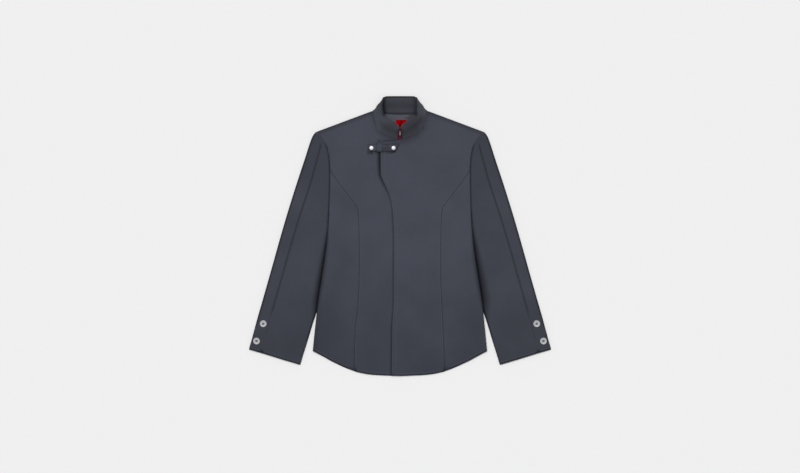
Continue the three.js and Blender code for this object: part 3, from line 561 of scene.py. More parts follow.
FRONT_CREASES = [
    [(188, 222, 8, 0), (150, 186, 12, -1.3), (100, 166, 13, -0.9), (48, 160, 10, 0)],
    [(190, 150, 8, 0), (158, 124, 11, 1.2), (118, 104, 10, 0.7), (84, 98, 9, 0)],
    [(66, 132, 12, 0), (60, 30, 17, 1.0), (74, -110, 16, 1.1), (70, -205, 12, 0)],
    [(150, 74, 10, 0), (153, 4, 16, 1.3), (145, -62, 12, 0)],
    [(146, -152, 9, 0), (150, -214, 13, 1.2), (141, -270, 10, 0)],
    [(112, -346, 9, 0), (150, -328, 12, -1.1), (196, -306, 10, 0)],
    [(200, 40, 7, 0), (176, 20, 9, 1.0), (140, 10, 8, 0)],
    [(24, -282, 10, 0), (66, -304, 14, 1.0), (112, -298, 10, 0)],
    [(14, 66, 9, 0), (58, 44, 12, -0.9), (104, 54, 9, 0)],
    [(190, -120, 8, 0), (172, -160, 11, -1.0), (176, -214, 9, 0)],
    [(20, 205, 12, 0), (70, 232, 18, 1.0), (130, 236, 14, 0.8), (172, 246, 10, 0)],
    [(10, -120, 10, 0), (38, -168, 13, -0.8), (30, -228, 10, 0)],
    [(-196, 236, 9, 0), (-160, 250, 16, 1.2), (-104, 240, 12, 0)],
    [(-186, 190, 8, 0), (-144, 168, 12, -1.2), (-96, 166, 10, 0)],
    [(-168, 118, 8, 0), (-152, 74, 12, -1.3), (-144, 26, 10, 0)],
    [(-196, 66, 7, 0), (-170, 38, 9, 1.1), (-132, 26, 8, 0)],
    [(-76, 60, 11, 0), (-96, -50, 16, 1.1), (-82, -180, 12, 0)],
    [(-44, -236, 9, 0), (-96, -286, 14, -1.1), (-156, -300, 10, 0)],
    [(-204, -140, 8, 0), (-172, -190, 11, 1.1), (-150, -262, 9, 0)],
    [(-30, -110, 7, 0), (-62, -142, 9, 0.7), (-92, -148, 7, 0)],
    [(-64, 214, 7, 0), (-74, 160, 10, 0.8), (-60, 104, 8, 0)],
    [(-122, -60, 8, 0), (-160, -84, 11, 0.9), (-196, -76, 8, 0)],
]
# Painted shade where the body casts its side seams into shade, from the armhole down.
BODY_SIDE_SHADE = [(197, 40, 4, 0.15), (201, -10, 8, 0.4), (209, -70, 12, 0.5), (219, -134, 12, 0.55)]
BODY_SIDE_SHADE += [(226, -176, 10, 0.5), (231, -214, 6, 0.2)]
# The darkest part of that painted shade, a narrow line along the side seam that the sleeve shares.
SIDE_CORE = [(194, 72, 2.5, 0.15), (197, 40, 3, 0.45), (203, -28, 3.5, 0.5), (210, -70, 4.5, 0.62)]
SIDE_CORE += [(220, -134, 4.5, 0.62), (227, -176, 4.5, 0.62), (231, -208, 3.5, 0.55), (234, -250, 2.5, 0.2)]
# Painted shade along the armhole, low on the sides, and on the chest.
ARMHOLE_SHADE = [(199, 240, 3, 0.05), (194, 212, 3, 0.3), (193, 160, 3, 0.15), (196, 60, 3, 0.3)]
SIDE_LOW_SHADE = [(-226, -176, 20, 0.05), (-234, -240, 16, 0.26), (-240, -330, 14, 0.22)]
SIDE_WIDE_SHADE = [(200, -150, 50, 0), (214, -220, 90, 0.1), (222, -340, 90, 0.12)]
CHEST_SHADE = [(-178, 118, 36, 0.08), (-140, 88, 52, 0.14), (-92, 62, 40, 0.1)]
OVER_SHOULDER = (246, 18)  # in y, and in x in the next line: there the armhole's seams fade away
BESIDE_ARMHOLE = (180, 15)
# Painted shade below the collar, and under the top edge of the lap.
NECK_SHADE = [(-74, 336, 12, 0.25), (-66, 298, 12, 0.15), (-44, 280, 18, 0.3), (-12, 266, 20, 0.36)]
NECK_SHADE += [(10, 266, 20, 0.36), (44, 280, 18, 0.34), (66, 298, 14, 0.2), (74, 336, 12, 0.25)]
LAP_TOP_SHADE = [(-62, 262, 3, 0.15), (-44, 262, 5, 0.25), (-20, 264, 5, 0.25), (-8, 266, 3, 0.1)]


def mirrored(rows):
    return [(-x, *rest) for x, *rest in rows]


def lies_level(line):
    """Whether a line runs more across the garment than along it."""
    start, end = line
    return abs(end.x - start.x) > abs(end.y - start.y)


def hem_of(lines):
    return [line for line in lines if lies_level(line) and line[0].y < HEM_TOP]


def shoulder_of(lines):
    level = [line for line in lines if lies_level(line)]
    return [line for line in level if line[0].y > SHOULDER_FOOT and abs(line[0].x) > NECK[0]]


def is_neck(line):
    return abs(line[0].x) < NECK[0] and line[0].y > NECK[1]


def seam_depth(points):
    """1 on the body and 0 over the shoulders, where the armhole's seams lie flat."""
    return 1 - ramp(points[:, 1], OVER_SHOULDER) * ramp(abs(points[:, 0]), BESIDE_ARMHOLE)


def sway(points):
    """How far the cloth near the hem has swung along x, at the lap and at the right front's seam."""
    x, y = points[:, 0], points[:, 1]
    at_lap = LAP_SWAY * ramp(x, LAP_SWAY_X[0]) * ramp(x, LAP_SWAY_X[1]) * ramp(y, LAP_SWAY_Y)
    middle, reach = SEAM_SWAY_X
    at_seam = SEAM_SWAY * smooth(1 - abs(x - middle) / reach)
    return at_lap + at_seam * ramp(y, SEAM_SWAY_Y[0]) * ramp(y, SEAM_SWAY_Y[1])


def press_front(piece, *shadows):
    """Gives a front panel its creases, its fall at the hem, its turned edges and their shade."""
    let_out(piece)
    points = points_of(piece)
    points[:, 0] += sway(points)
    shift_edges(points)
    move_points(piece, points)
    lines = upper_rim(piece)
    points[:, 2] += lift(points, FRONT_CREASES)
    if hem_of(lines):
        near_hem = 1 - smooth(distances(points, along_lines(hem_of(lines))) / HEM_SLOPE)
        points[:, 2] -= HEM_DROP * near_hem * ramp(abs(points[:, 0]), HEM_DROP_BAND)
    move_points(piece, points)
    sewn = [line for line in lines if not is_neck(line)]
    turn_down(piece, sewn, SEAM_ROUND, SEAM_DEPTH * seam_depth(points))
    both = (BODY_SIDE_SHADE, SIDE_CORE, ARMHOLE_SHADE, SIDE_WIDE_SHADE)
    sides = [rows for side in both for rows in (side, mirrored(side))]
    set_shade(
        piece,
        edge_shade(points, sewn, *SEAM_SHADE) * seam_depth(points),
        edge_shade(points, hem_of(lines), *HEM_SHADE),
        edge_shade(points, shoulder_of(lines), *SHOULDER_SHADE),
        shadow(points, sides + [NECK_SHADE, LAP_TOP_SHADE, CHEST_SHADE, SIDE_LOW_SHADE] + list(shadows)),
    )
    return lines


def capsule(length, width, height):
    """A small round-ended rod along x, as its points in millimetres and its faces."""
    bpy.ops.mesh.primitive_uv_sphere_add(segments=6, ring_count=4, radius=0.5 * MM)
    rod = bpy.context.active_object
    bpy.ops.object.mode_set(mode="EDIT")
    bpy.ops.mesh.select_all(action="SELECT")
    bpy.ops.transform.rotate(value=math.pi / 2, orient_axis="Y", center_override=(0, 0, 0))
    bpy.ops.transform.resize(value=(length, width, height), center_override=(0, 0, 0))
    bpy.ops.object.mode_set(mode="OBJECT")
    shape = points_of(rod), [list(face.vertices) for face in rod.data.polygons]
    bpy.data.objects.remove(rod)
    return shape


def lay_copies(name, shape, places):
    """One mesh of copies of a small shape. A place is a middle and the way that the copy runs."""
    unit, unit_faces = shape
    points, faces = [], []
    for middle, way in places:
        way = Vector(way).normalized()
        side = Vector((0, 0, 1)).cross(way).normalized()
        axes = np.array([way, side, way.cross(side)])
        faces += [[i + len(points) * len(unit) for i in face] for face in unit_faces]
        points.append(unit @ axes + np.array(middle))
    mesh = bpy.data.meshes.new(name)
    mesh.from_pydata((np.vstack(points) * MM).tolist(), [], faces)
    made = bpy.data.objects.new(name, mesh)
    bpy.context.collection.objects.link(made)
    return made


def surface_of(piece):
    """A function that gives the height of a piece's top at a place, or None beside it."""
    tree = BVHTree.FromPolygons(points_of(piece).tolist(), [face.vertices for face in piece.data.polygons])

    def height(x, y):
        hit = tree.ray_cast((x, y, OVERHEAD), (0, 0, -1))[0]
        return hit.z if hit else None

    return height


def beside_edge(lines, axis, inset):
    """The route of a row of stitches at an inset from cut edges that run along x (0) or y (1)."""
    middles = sorted(((start + end) / 2 for start, end in lines), key=lambda point: point[axis])
    line = np.array([point[:2] for point in middles])
    steps = np.linalg.norm(np.diff(line, axis=0), axis=1)
    along = np.concatenate([[0], np.cumsum(steps)])
    at = np.arange(abs(inset), along[-1] - abs(inset), STITCH_PITCH)
    spots = np.column_stack([np.interp(at, along, line[:, i]) for i in (0, 1)])
    ways = np.gradient(spots, axis=0)
    ways /= np.linalg.norm(ways, axis=1)[:, None]
    inward = np.column_stack([-ways[:, 1], ways[:, 0]]) * (1 if axis == 0 else -1)
    return spots + inset * inward


def sew(name, route, piece, material, shape=None, turn=0):
    """Lays stitches along a route on a piece. Its points lie one stitch apart."""
    height = surface_of(piece)
    places = []
    for before, spot, after in zip(route, route[1:], route[2:]):
        levels = [height(*place) for place in (before, spot, after)]
        if None in levels or max(levels) - min(levels) > STITCH_STEP:
            continue
        way = Vector((*(after - before), levels[2] - levels[0]))
        if turn:
            way = Vector((-way.y, way.x, 0))
        places.append(((spot[0], spot[1], levels[1]), way))
    stitches = lay_copies(name, shape or stitch, places)
    dress(stitches, material, "cloth")
    return stitches


def thread(name, colour):
    """Spun polyester sewing thread: matte, with a faint twist that varies its tone."""
    surface = {"Roughness": 0.75, "Specular IOR Level": 0.3, "Sheen Weight": 0.1}
    material, shader = new_material(name, surface)
    place = add_node(material, "TexCoord").outputs["Object"]
    twists = bands(material, place, THREAD_TWISTS, distortion=1)
    paint(material, shader, between(material, twists, shades_of(colour, 0.25)[0], linear(colour)))
    emboss(material, shader, twists, strength=0.4, depth=0.08)
    return material


stitch = capsule(STITCH_LENGTH, STITCH_WIDTH, STITCH_HEIGHT)
slate_thread = thread("spun polyester thread, slate", THREAD)
for side in ("left", "right"):
    panel = finer_copy("side_front_" + side, 2)
    edges = press_front(panel)
    dress(panel, body_twill, "cloth", "side_front_" + side)
    sew("side_hem_stitches_" + side, beside_edge(hem_of(edges), 0, HEM_STITCH), panel, slate_thread)

# Right front
# One panel of the same twill, from its princess seam to the zip, which is sewn behind its edge. It
# lies under the left front, whose edge casts a painted shade on it.
PRINCESS_X = 105  # its seam lies further from the middle than this
PRINCESS_Y = (-366, 178)
LAP_SHADE = [(-57, 262, 5, 0.4), (-55, 232, 11, 0.85), (-55, 200, 11, 0.85), (-54.5, 168, 9, 0.75)]
LAP_SHADE += [(-44, 143, 8, 0.55), (-28, 115, 7, 0.45), (-22, 87, 5, 0.4), (-18, 8, 4.5, 0.4)]
LAP_SHADE += [(-18.5, -130, 4.5, 0.42), (-18.5, -200, 5, 0.45), (-22.5, -250, 6, 0.5), (-24, -385, 6, 0.5)]
# Round the tab, which casts a little painted shade on the cloth under it.
TAB_SHADE = [(-90, 252, 2.5, 0.35), (-88, 232.8, 3.5, 0.85), (-14, 232.8, 3.5, 0.85)]
TAB_SHADE += [(-4, 253, 3.5, 0.6), (-60, 254, 2, 0.2), (-90, 252, 2.5, 0.35)]


def princess_edge(lines, sign):
    """The cut edge of a front panel at its princess seam."""
    low, high = PRINCESS_Y
    return [line for line in lines if sign * line[0].x > PRINCESS_X and low < line[0].y < high]


right_front = finer_copy("front_right", 2)
edges = press_front(right_front, LAP_SHADE, TAB_SHADE)
dress(right_front, body_twill, "cloth", "front_right")
sew("right_hem_stitches", beside_edge(hem_of(edges), 0, HEM_STITCH), right_front, slate_thread)
seam = beside_edge(princess_edge(edges, -1), 1, SEAM_STITCH)
sew("right_princess_stitches", seam, right_front, slate_thread)

# Zip
# A red woven tape with a moulded coil of teeth, sewn behind the fronts' edges. It runs up between
# the ends of the collar. Its slider stands closed at the top, and its pull hangs down in front.
TAPE_RED = "#4c0a1a"
TEETH_RED = "#5a1426"
TAPE_PITCH = 0.9
TEETH_GRAIN = 0.6
TAPE_THINNER = 0.5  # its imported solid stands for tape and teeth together
TAPE_UPPER = 0.3  # a normal more upright than this is on its upper face
TOOTH = (2.6, 0.95, 0.9)  # length, width and height
TOOTH_PITCH = 1.4
TOOTH_SIDE = 0.9  # from the middle of the tape
TOOTH_LIFT = 0.1
TEETH_ENDS = (-378, 284)
WEAVE_PATCHES = 60  # to a metre


def woven(name, colour, surface, pitch, contrast=0.2, depth=0.1, turn=0):
    """A plain weave of yarns that cross at a pitch, so that it has a fine even grain."""
    material, shader = new_material(name, surface)
    place = add_node(material, "TexCoord").outputs["Object"]
    along = turned(material, place, turn)
    warp, weft = [bands(material, along, pitch, 0.4, bands_direction=way) for way in ("X", "Y")]
    yarns = add_node(material, "Math", {0: warp, 1: weft}, operation="MULTIPLY").outputs["Value"]
    patches = noise(material, along, WEAVE_PATCHES, detail=3)
    tone = stretched(material, with_share(material, patches, 0.6, yarns), 0.3, 1.1)
    dark, light = shades_of(colour, contrast)
    paint(material, shader, between(material, tone, dark, light))
    emboss(material, shader, yarns, strength=0.4, depth=depth)
    return material


# The tape is matte, and its weave shows as a fine even grain.
tape_surface = {"Roughness": 0.75, "Specular IOR Level": 0.2}
red_tape = woven("woven polyester tape, dark red", TAPE_RED, tape_surface, TAPE_PITCH)
tape = finer_copy("zip_tape", 2, halvings=0)
tape_points = points_of(tape)
tape_points[:, 2] += lift(tape_points, FRONT_CREASES)
tape_points[:, 2] -= TAPE_THINNER * (normals_of(tape)[:, 2] > TAPE_UPPER)
move_points(tape, tape_points)
dress(tape, red_tape, "zip_tape", "zip_tape")

# The coil is nylon, dyed like the tape, and its loops reach in from either side by turns.
teeth_surface = {"Roughness": 0.4}
coil_nylon = woven(
    "nylon coil, dark red", TEETH_RED, teeth_surface, TEETH_GRAIN, contrast=0.1, depth=0.03
)
tape_height = surface_of(tape)
loops = []
for count, y in enumerate(np.arange(*TEETH_ENDS, TOOTH_PITCH / 2)):
    x = TOOTH_SIDE if count % 2 else -TOOTH_SIDE
    level = tape_height(x, y)
    if level is not None:
        loops.append(((x, y, level + TOOTH_LIFT), (1, 0, 0)))
coil = lay_copies("zip_coil", capsule(*TOOTH), loops)
dress(coil, coil_nylon, "zip_tape")

# Left front
# It laps over the right front and the zip. Its free edge curves out at the chest to the tab, and
# two rows of stitches hold its facing.
LAP_STITCHES = {"outer": 2.6, "inner": 11}  # from its free edge
LAP_EDGE = (-10, 259)  # that edge lies further right and lower than this
# Painted shade along its own free edge.
LAP_OWN_SHADE = [(-54, 232, 3, 0.35), (-53, 168, 3, 0.3), (-36, 130, 2.5, 0.3), (-21, 70, 2, 0.25)]
LAP_OWN_SHADE += [(-17, 0, 1.6, 0.2), (-18, -190, 1.6, 0.2), (-22, -250, 1.8, 0.25)]
LAP_OWN_SHADE += [(-23.5, -384, 1.8, 0.25)]

left_front = finer_copy("front_left", 2)
edges = press_front(left_front, LAP_OWN_SHADE, TAB_SHADE)
dress(left_front, body_twill, "cloth", "front_left")
sew("left_hem_stitches", beside_edge(hem_of(edges), 0, HEM_STITCH), left_front, slate_thread)
seam = beside_edge(princess_edge(edges, 1), 1, -SEAM_STITCH)
sew("left_princess_stitches", seam, left_front, slate_thread)
upright = [line for line in edges if not lies_level(line)]
lap_edge = [line for line in upright if line[0].x < LAP_EDGE[0] and line[0].y < LAP_EDGE[1]]
for row, inset in LAP_STITCHES.items():
    sew("lap_stitches_" + row, beside_edge(lap_edge, 1, inset), left_front, slate_thread)

# Sleeves
# Each is cut in two pieces and pressed flat, with a fold on either side. The body lies on its inner
# side, and painted shade darkens the sleeve beside it and at its folds. Its cuff is turned up and stitched.
# The sleeves' twill is a little darker than the body's.
SLEEVE_TWILL = "#3e4049"
SLEEVE_TURN = 16.5  # in degrees, from the body's warp to its own
# Painted light on each sleeve: its colour is painted lightest round this middle, and darker away from it.
SLEEVE_LIGHT_MIDDLE = (295, -20)
SLEEVE_LIGHT_NEAR = (110, 1.02)
SLEEVE_LIGHT_FAR = (300, 0.87)
# Painted shade along the folds.
FOLD_SHADE = (5, 0.68)
CUFF_STITCH = 6
SLEEVE_LET_OUT = (0.45, 1.3)  # at its own seams, and at the armhole
SLEEVE_SEAM_SHADE = (4.5, 0.32)
# How far the outer fold lies out from where the pattern has it. Rows are y and the move.
OUTER_SHIFT = [(-310, 2.4), (-230, 1.8), (-175, 1.0), (-65, 0.5), (100, 0)]
OUTER_REACH = 40  # the cloth moves less and less as far in as this
OUTER_FOLD = ((281, 239.4), (-310.5, 413))  # y and x at its ends
INNER_SHIFT = [(-312, 1.6), (-285, 1.3), (-257, 0.6), (-238, 0)]  # and how far its inner fold lies in
INNER_SHIFT_BAND = (100, 40)  # from the outer fold
FOLD_FROM_EDGE = 3  # a fold's points lie further than this from a cut edge
SEAM_END_Y = -212  # below it the sleeve's seam is the closed placket of the cuff, pressed flat
LOWER_LAYER = 2  # a point lower than this is on the sleeve's under layer
LAYER_BAND = (LOWER_LAYER, 1)  # in height
UNDER_CREASES = slice(4, 8)  # the under layer has these creases of the upper one as well,
UNDER_MOVE = (14, -30)  # moved by so much,
UNDER_BAND = (250, 30)  # further from the middle than this
RIGHT_SHADE_WIDTH = 0.7  # of the left sleeve's
SLEEVE_CREASES = {
    "left": [
        [(202, 128, 7, 0), (222, 140, 9, -1.1), (246, 168, 8, 0)],
        [(206, 66, 7, 0), (230, 84, 10, 1.2), (262, 116, 8, 0)],
        [(226, -8, 8, 0), (262, -2, 11, -1.2), (306, 22, 8, 0)],
        [(236, -50, 7, 0), (272, -40, 9, 1.0), (312, -20, 7, 0)],
        [(258, -92, 7, 0), (292, -82, 8, -0.9), (330, -60, 7, 0)],
        [(298, -112, 9, 0), (318, -178, 13, 1.1), (332, -246, 9, 0)],
        [(296, -306, 8, 0), (334, -288, 11, -0.9), (372, -292, 8, 0)],
        [(262, -176, 8, 0), (284, -216, 11, -1.0), (298, -264, 8, 0)],
        [(252, 208, 6, 0), (264, 160, 8, 0.9), (282, 100, 7, 0)],
    ],
    "right": [
        [(-208, 206, 7, 0), (-220, 156, 11, -1.2), (-222, 112, 8, 0)],
        [(-238, 150, 7, 0), (-242, 112, 11, 1.1), (-254, 72, 8, 0)],
        [(-214, 30, 8, 0), (-252, 34, 10, -1.1), (-292, 60, 8, 0)],
        [(-228, -36, 7, 0), (-262, -22, 9, 1.1), (-300, -14, 7, 0)],
        [(-246, -84, 7, 0), (-290, -66, 10, -1.0), (-330, -58, 7, 0)],
        [(-288, -106, 9, 0), (-302, -160, 12, 1.0), (-326, -216, 9, 0)],
        [(-330, -196, 8, 0), (-344, -250, 11, -0.9), (-352, -296, 8, 0)],
        [(-276, -250, 8, 0), (-304, -284, 11, 1.0), (-350, -300, 8, 0)],
        [(-244, 224, 6, 0), (-262, 176, 8, -0.8), (-276, 132, 7, 0)],
    ],
}
# Painted shade on the sleeve beside the body's side seam, and along the armhole.
SLEEVE_SHADE = [(195, 60, 4, 0.2), (199, 14, 9, 0.65), (202, -14, 13, 0.85), (209, -70, 20, 0.9)]
SLEEVE_SHADE += [(219, -134, 26, 0.88), (226, -176, 26, 0.84), (233, -216, 16, 0.5), (242, -250, 6, 0)]
SLEEVE_TOP_SHADE = [(199, 240, 4, 0.05), (194, 212, 4, 0.35), (193, 160, 4, 0.35), (196, 60, 4, 0.35)]
VALLEY = [(200, 20, 10, 0), (210, -60, 16, -1.2), (226, -150, 18, -1.2), (236, -214, 12, 0)]

for side, sign in (("left", 1), ("right", -1)):
    middle = (sign * SLEEVE_LIGHT_MIDDLE[0], SLEEVE_LIGHT_MIDDLE[1])
    name = "cotton twill, slate, " + side + " sleeve"
    sleeve_twill = twill(name, SLEEVE_TWILL, sign * SLEEVE_TURN, middle, SLEEVE_LIGHT_NEAR, SLEEVE_LIGHT_FAR)
    shades = [SLEEVE_SHADE, SLEEVE_TOP_SHADE, SIDE_CORE]
    shades = [rows if side == "left" else mirrored(rows) for rows in shades]
    if side == "right":
        shades[0] = [(x, y, width * RIGHT_SHADE_WIDTH, share) for x, y, width, share in shades[0]]
    valley = VALLEY if side == "left" else mirrored(VALLEY)
    for part in ("front", "back"):
        node = "sleeve_" + part + "_" + side
        piece = finer_copy(node, 2)
        let_out(piece, *SLEEVE_LET_OUT)
        points = points_of(piece)
        (high, high_x), (low, low_x) = OUTER_FOLD
        inward = high_x + (high - points[:, 1]) / (high - low) * (low_x - high_x) - abs(points[:, 0])
        points[:, 0] += sign * from_table(points[:, 1], OUTER_SHIFT) * smooth(1 - inward / OUTER_REACH)
        points[:, 0] -= sign * from_table(points[:, 1], INNER_SHIFT) * ramp(inward, INNER_SHIFT_BAND)
        move_points(piece, points)
        edges = [line for line in upper_rim(piece) if line[0].z > LOWER_LAYER]
        sewn = [line for line in edges if line[0].y > SEAM_END_Y or lies_level(line)]
        above = ramp(points[:, 2], LAYER_BAND)
        folds = points[abs(normals_of(piece)[:, 2]) < SIDE_ON]
        folds = folds[distances(folds, along_lines(upper_rim(piece))) > FOLD_FROM_EDGE]
        points[:, 2] += above * lift(points, SLEEVE_CREASES[side] + [valley])
        under = [
            [(x + UNDER_MOVE[0], y + UNDER_MOVE[1], width, abs(height)) for x, y, width, height in crease]
            for crease in SLEEVE_CREASES[side][UNDER_CREASES]
        ]
        points[:, 2] += (1 - above) * ramp(abs(points[:, 0]), UNDER_BAND) * lift(points, under)
        move_points(piece, points)
        turn_down(piece, sewn, SEAM_ROUND, SEAM_DEPTH * seam_depth(points), LOWER_LAYER)
        set_shade(
            piece,
            FOLD_SHADE[1] * (1 - np.clip(distances(points, folds) / FOLD_SHADE[0], 0, 1)),
            edge_shade(points, hem_of(edges), *HEM_SHADE),
            edge_shade(points, sewn, *SLEEVE_SEAM_SHADE) * seam_depth(points),
            shadow(points, shades) * above,
        )
        dress(piece, sleeve_twill, "cloth", node)
        cuff = beside_edge(hem_of(edges), 0, CUFF_STITCH)
        sew("cuff_stitches_" + part + "_" + side, cuff, piece, slate_thread)

# Collar
# A stand collar of two layers with a stiffener, closed by the zip. It leans in over the neck, so
# its inside lies in shade at both ends, painted deep into its colour.
# Its twill is the body's made lighter, a painted light on its steep sides.
COLLAR_LIT_TWILL = "#484a52"
COLLAR_LET_OUT = 1.0
THROAT = (303, 14, 4.5)  # its ends lean together round this y, over this reach, by so much,
THROAT_BAND = (34, -22)  # this near to the middle,
THROAT_MOST = 0.6  # but never by more than this share of the way
# Painted shade inside it, along its top edge, and on its front beside the zip.
COLLAR_SHADE = [
    [(43, 386, 16, 0.42), (45, 362, 11, 0.35), (42, 336, 10, 0.6)],
    [(-36, 384.5, 3.5, 0.45), (36, 384.5, 3.5, 0.45)],
    [(-43, 386, 9, 0.6), (-45, 362, 9, 0.62), (-42, 336, 10, 0.7)],
    [(-44, 337, 6, 0.6), (44, 337, 6, 0.6)],
    [(-42, 385, 6, 0.65), (42, 385, 5, 0.45)],
    [(4, 282, 22, 0.3), (22, 292, 32, 0.46), (40, 304, 32, 0.55), (56, 320, 20, 0.4)],
    [(-4, 282, 22, 0.3), (-22, 292, 30, 0.42), (-40, 300, 26, 0.38), (-54, 312, 14, 0.15)],
]
# Painted shade makes its inside darker, up to the right-hand end of its opening.
COLLAR_INSIDE_SHADE = [(-44, 360, 44, 0.46), (0, 360, 44, 0.42), (44, 360, 44, 0.48)]
COLLAR_INSIDE_BAND = (48, -3)

collar_lit_twill = twill("cotton twill, slate, collar", COLLAR_LIT_TWILL)
collar = finer_copy("collar", 3, halvings=0)
let_out(collar, COLLAR_LET_OUT)
collar_points = points_of(collar)
x, y = collar_points[:, 0], collar_points[:, 1]
lean = THROAT[2] * smooth(1 - abs(y - THROAT[0]) / THROAT[1]) * ramp(abs(x), THROAT_BAND)
collar_points[:, 0] -= np.sign(x) * np.minimum(lean, abs(x) * THROAT_MOST)
move_points(collar, collar_points)
inside = shadow(collar_points, [COLLAR_INSIDE_SHADE]) * ramp(collar_points[:, 0], COLLAR_INSIDE_BAND)
facing_up = normals_of(collar)[:, 2] > 0
set_shade(collar, shadow(collar_points, COLLAR_SHADE) * facing_up, inside * facing_up)
dress(collar, collar_lit_twill, "cloth", "collar")

# Back neck
# A viscose lining, lighter than the twill, faces the inside of the neck below the collar. A label
# of damask satin is sewn on it along its upper and lower edges. It has no lettering.
LINING = "#4e5059"
LINING_SURFACE = {"Roughness": 0.55, "Specular IOR Level": 0.06, "Sheen Weight": 0.04}
LINING_PITCH = 0.8
LINING_CREASES = [
    [(-34, 336, 4, 0), (-20, 328, 5, 1.0), (-4, 325, 4, 0)],
    [(6, 336, 4, 0), (16, 329, 5, 0.9), (32, 330, 4, 0)],
    [(-10, 334, 3, 0), (0, 331, 4, -0.5), (12, 334, 3, 0)],
    [(-30, 318, 4, 0), (-22, 305, 5, 0.5), (-20, 290, 4, 0)],
    [(28, 320, 4, 0), (26, 300, 5, 0.4), (30, 282, 4, 0)],
]
# Painted shade along the collar's foot and at the ends of the lining.
LINING_SHADE = [
    [(-50, 338, 5, 0.6), (50, 338, 5, 0.6)],
    [(-50, 330, 14, 0.7), (-30, 300, 12, 0.7), (-14, 280, 12, 0.7)],
    [(50, 334, 36, 0.8), (30, 308, 16, 0.75), (14, 280, 12, 0.7)],
    [(16, 325, 5, 0.2), (34, 322, 6, 0.4)],
]
LABEL_RED = "#9a0008"
LABEL_SURFACE = {"Roughness": 0.6, "Specular IOR Level": 0}
LABEL_PITCH = 0.7
LABEL_STITCH = (1, 1.5)  # in x and y, from its edges
RED_THREAD = "#6d0a12"
# Painted shade on the label, darkest low down, deep in the collar.
LABEL_SHADE = [
    [(3, 323, 2.4, 0.35), (3.2, 315, 4, 0.65), (1, 306, 7, 0.75), (0, 284, 8, 0.85)],
    [(-14, 308, 8, 0.8), (-8, 298, 8, 0.8), (-6, 282, 5, 0.7)],
    [(20, 312, 9, 0.75), (12, 300, 8, 0.8), (8, 282, 5, 0.7)],
    [(-14, 321, 2, 0.4), (20, 321, 2, 0.4)],
]


def straight_row(start, end, y, pitch=STITCH_PITCH):
    """The route of a straight row of stitches along x."""
    return np.array([(x, y) for x in np.arange(start, end, pitch)])


# The lining is smooth, with a soft gloss and a fine grain that runs on the bias.
lining_cloth = woven(
    "viscose lining, grey-violet", LINING, LINING_SURFACE, LINING_PITCH, contrast=0.1, depth=0.05, turn=45
)
facing = finer_copy("back_neck_facing", 3, halvings=0)
facing_points = points_of(facing)
facing_points[:, 2] += lift(facing_points, LINING_CREASES)
move_points(facing, facing_points)
set_shade(facing, shadow(facing_points, LINING_SHADE))
dress(facing, lining_cloth, "lining", "back_neck_facing")

# The satin is a clear red, even and without shine.
label_satin = woven(
    "damask label satin, red", LABEL_RED, LABEL_SURFACE, LABEL_PITCH, contrast=0.15, depth=0.05
)
label = finer_copy("label", 3, halvings=0)
label_points = points_of(label)
set_shade(label, shadow(label_points, LABEL_SHADE))
dress(label, label_satin, "label", "label")
red_thread = thread("spun polyester thread, red", RED_THREAD)
label_low, label_high = (Vector(corner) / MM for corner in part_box("label"))
for name, y in (("lower", label_low.y + LABEL_STITCH[1]), ("upper", label_high.y - LABEL_STITCH[1])):
    row = straight_row(label_low.x + LABEL_STITCH[0], label_high.x - LABEL_STITCH[0], y)
    sew("label_stitches_" + name, row, label, red_thread)

# Slider and pull
# Both are die-cast in zinc, with softened edges. The slider is enamelled dark red like the tape. The
# pull hangs from its bridge, and has bright nickel plate.
ENAMEL = "#3a0a18"
ENAMEL_GRAIN = 2.5
NICKEL = "#dcdce0"
POLISH_LINES = 4000  # to a metre
POLISH_SCALE = (1, 0.15, 1)  # so that they are drawn out along y
EDGE_BEVEL = 0.16
BEVEL_ANGLE = math.radians(35)  # edges sharper than this are rounded
FLAT_ANGLE = math.radians(2)  # faces that meet at less than this are joined


def nickel_plate(name, colour, roughness):
    """Nickel plate: bright metal with fine polishing lines, which vary its gloss."""
    material, shader = new_material(name, {"Metallic": 1})
    place = add_node(material, "TexCoord").outputs["Object"]
    drawn = add_node(material, "Mapping", {"Vector": place, "Scale": POLISH_SCALE}).outputs["Vector"]
    lines = noise(material, drawn, POLISH_LINES, detail=2)
    rough = stretched(material, lines, 0, 1, roughness - 0.08, roughness + 0.1)
    material.node_tree.links.new(rough, shader.inputs["Roughness"])
    paint(material, shader, between(material, lines, shades_of(colour, 0.1)[0], linear(colour)))
    return material


def softened(node, width=EDGE_BEVEL):
    """A copy of a rigid CAD node with its sharp edges rounded."""
    piece = open_copy(node, "_cast")
    bpy.ops.mesh.dissolve_limited(angle_limit=FLAT_ANGLE)
    bpy.ops.object.mode_set(mode="OBJECT")
    carry_out(
        piece, "BEVEL", width=width * MM, segments=2, limit_method="ANGLE", angle_limit=BEVEL_ANGLE
    )
    return piece


# The enamel is glossy, with the slight unevenness of a coat that was sprayed and baked.
enamel_surface = {"Roughness": 0.3}
enamel = woven(
    "enamel on zinc, dark red", ENAMEL, enamel_surface, ENAMEL_GRAIN, contrast=0.08, depth=0.01
)
# The pull's plate is bright, with soft reflections of the room.
bright_nickel = nickel_plate("zinc die-casting, nickel-plated", NICKEL, roughness=0.3)
dress(softened("zip_slider"), enamel, "metal", "zip_slider")
dress(softened("zip_pull"), bright_nickel, "metal", "zip_pull", body="zip_pull")

# Tab and keeper
# A strap of doubled twill, stitched along its edges, holds the lap shut at the throat. It runs
# through a keeper, a loop of the same cloth. It has one worked slot, and a snap at each end.
STRAP_STITCH = 3  # from its edges
STRAP_ROWS = {"lower": (-86, -17), "upper": (-86, -9)}  # x of their ends
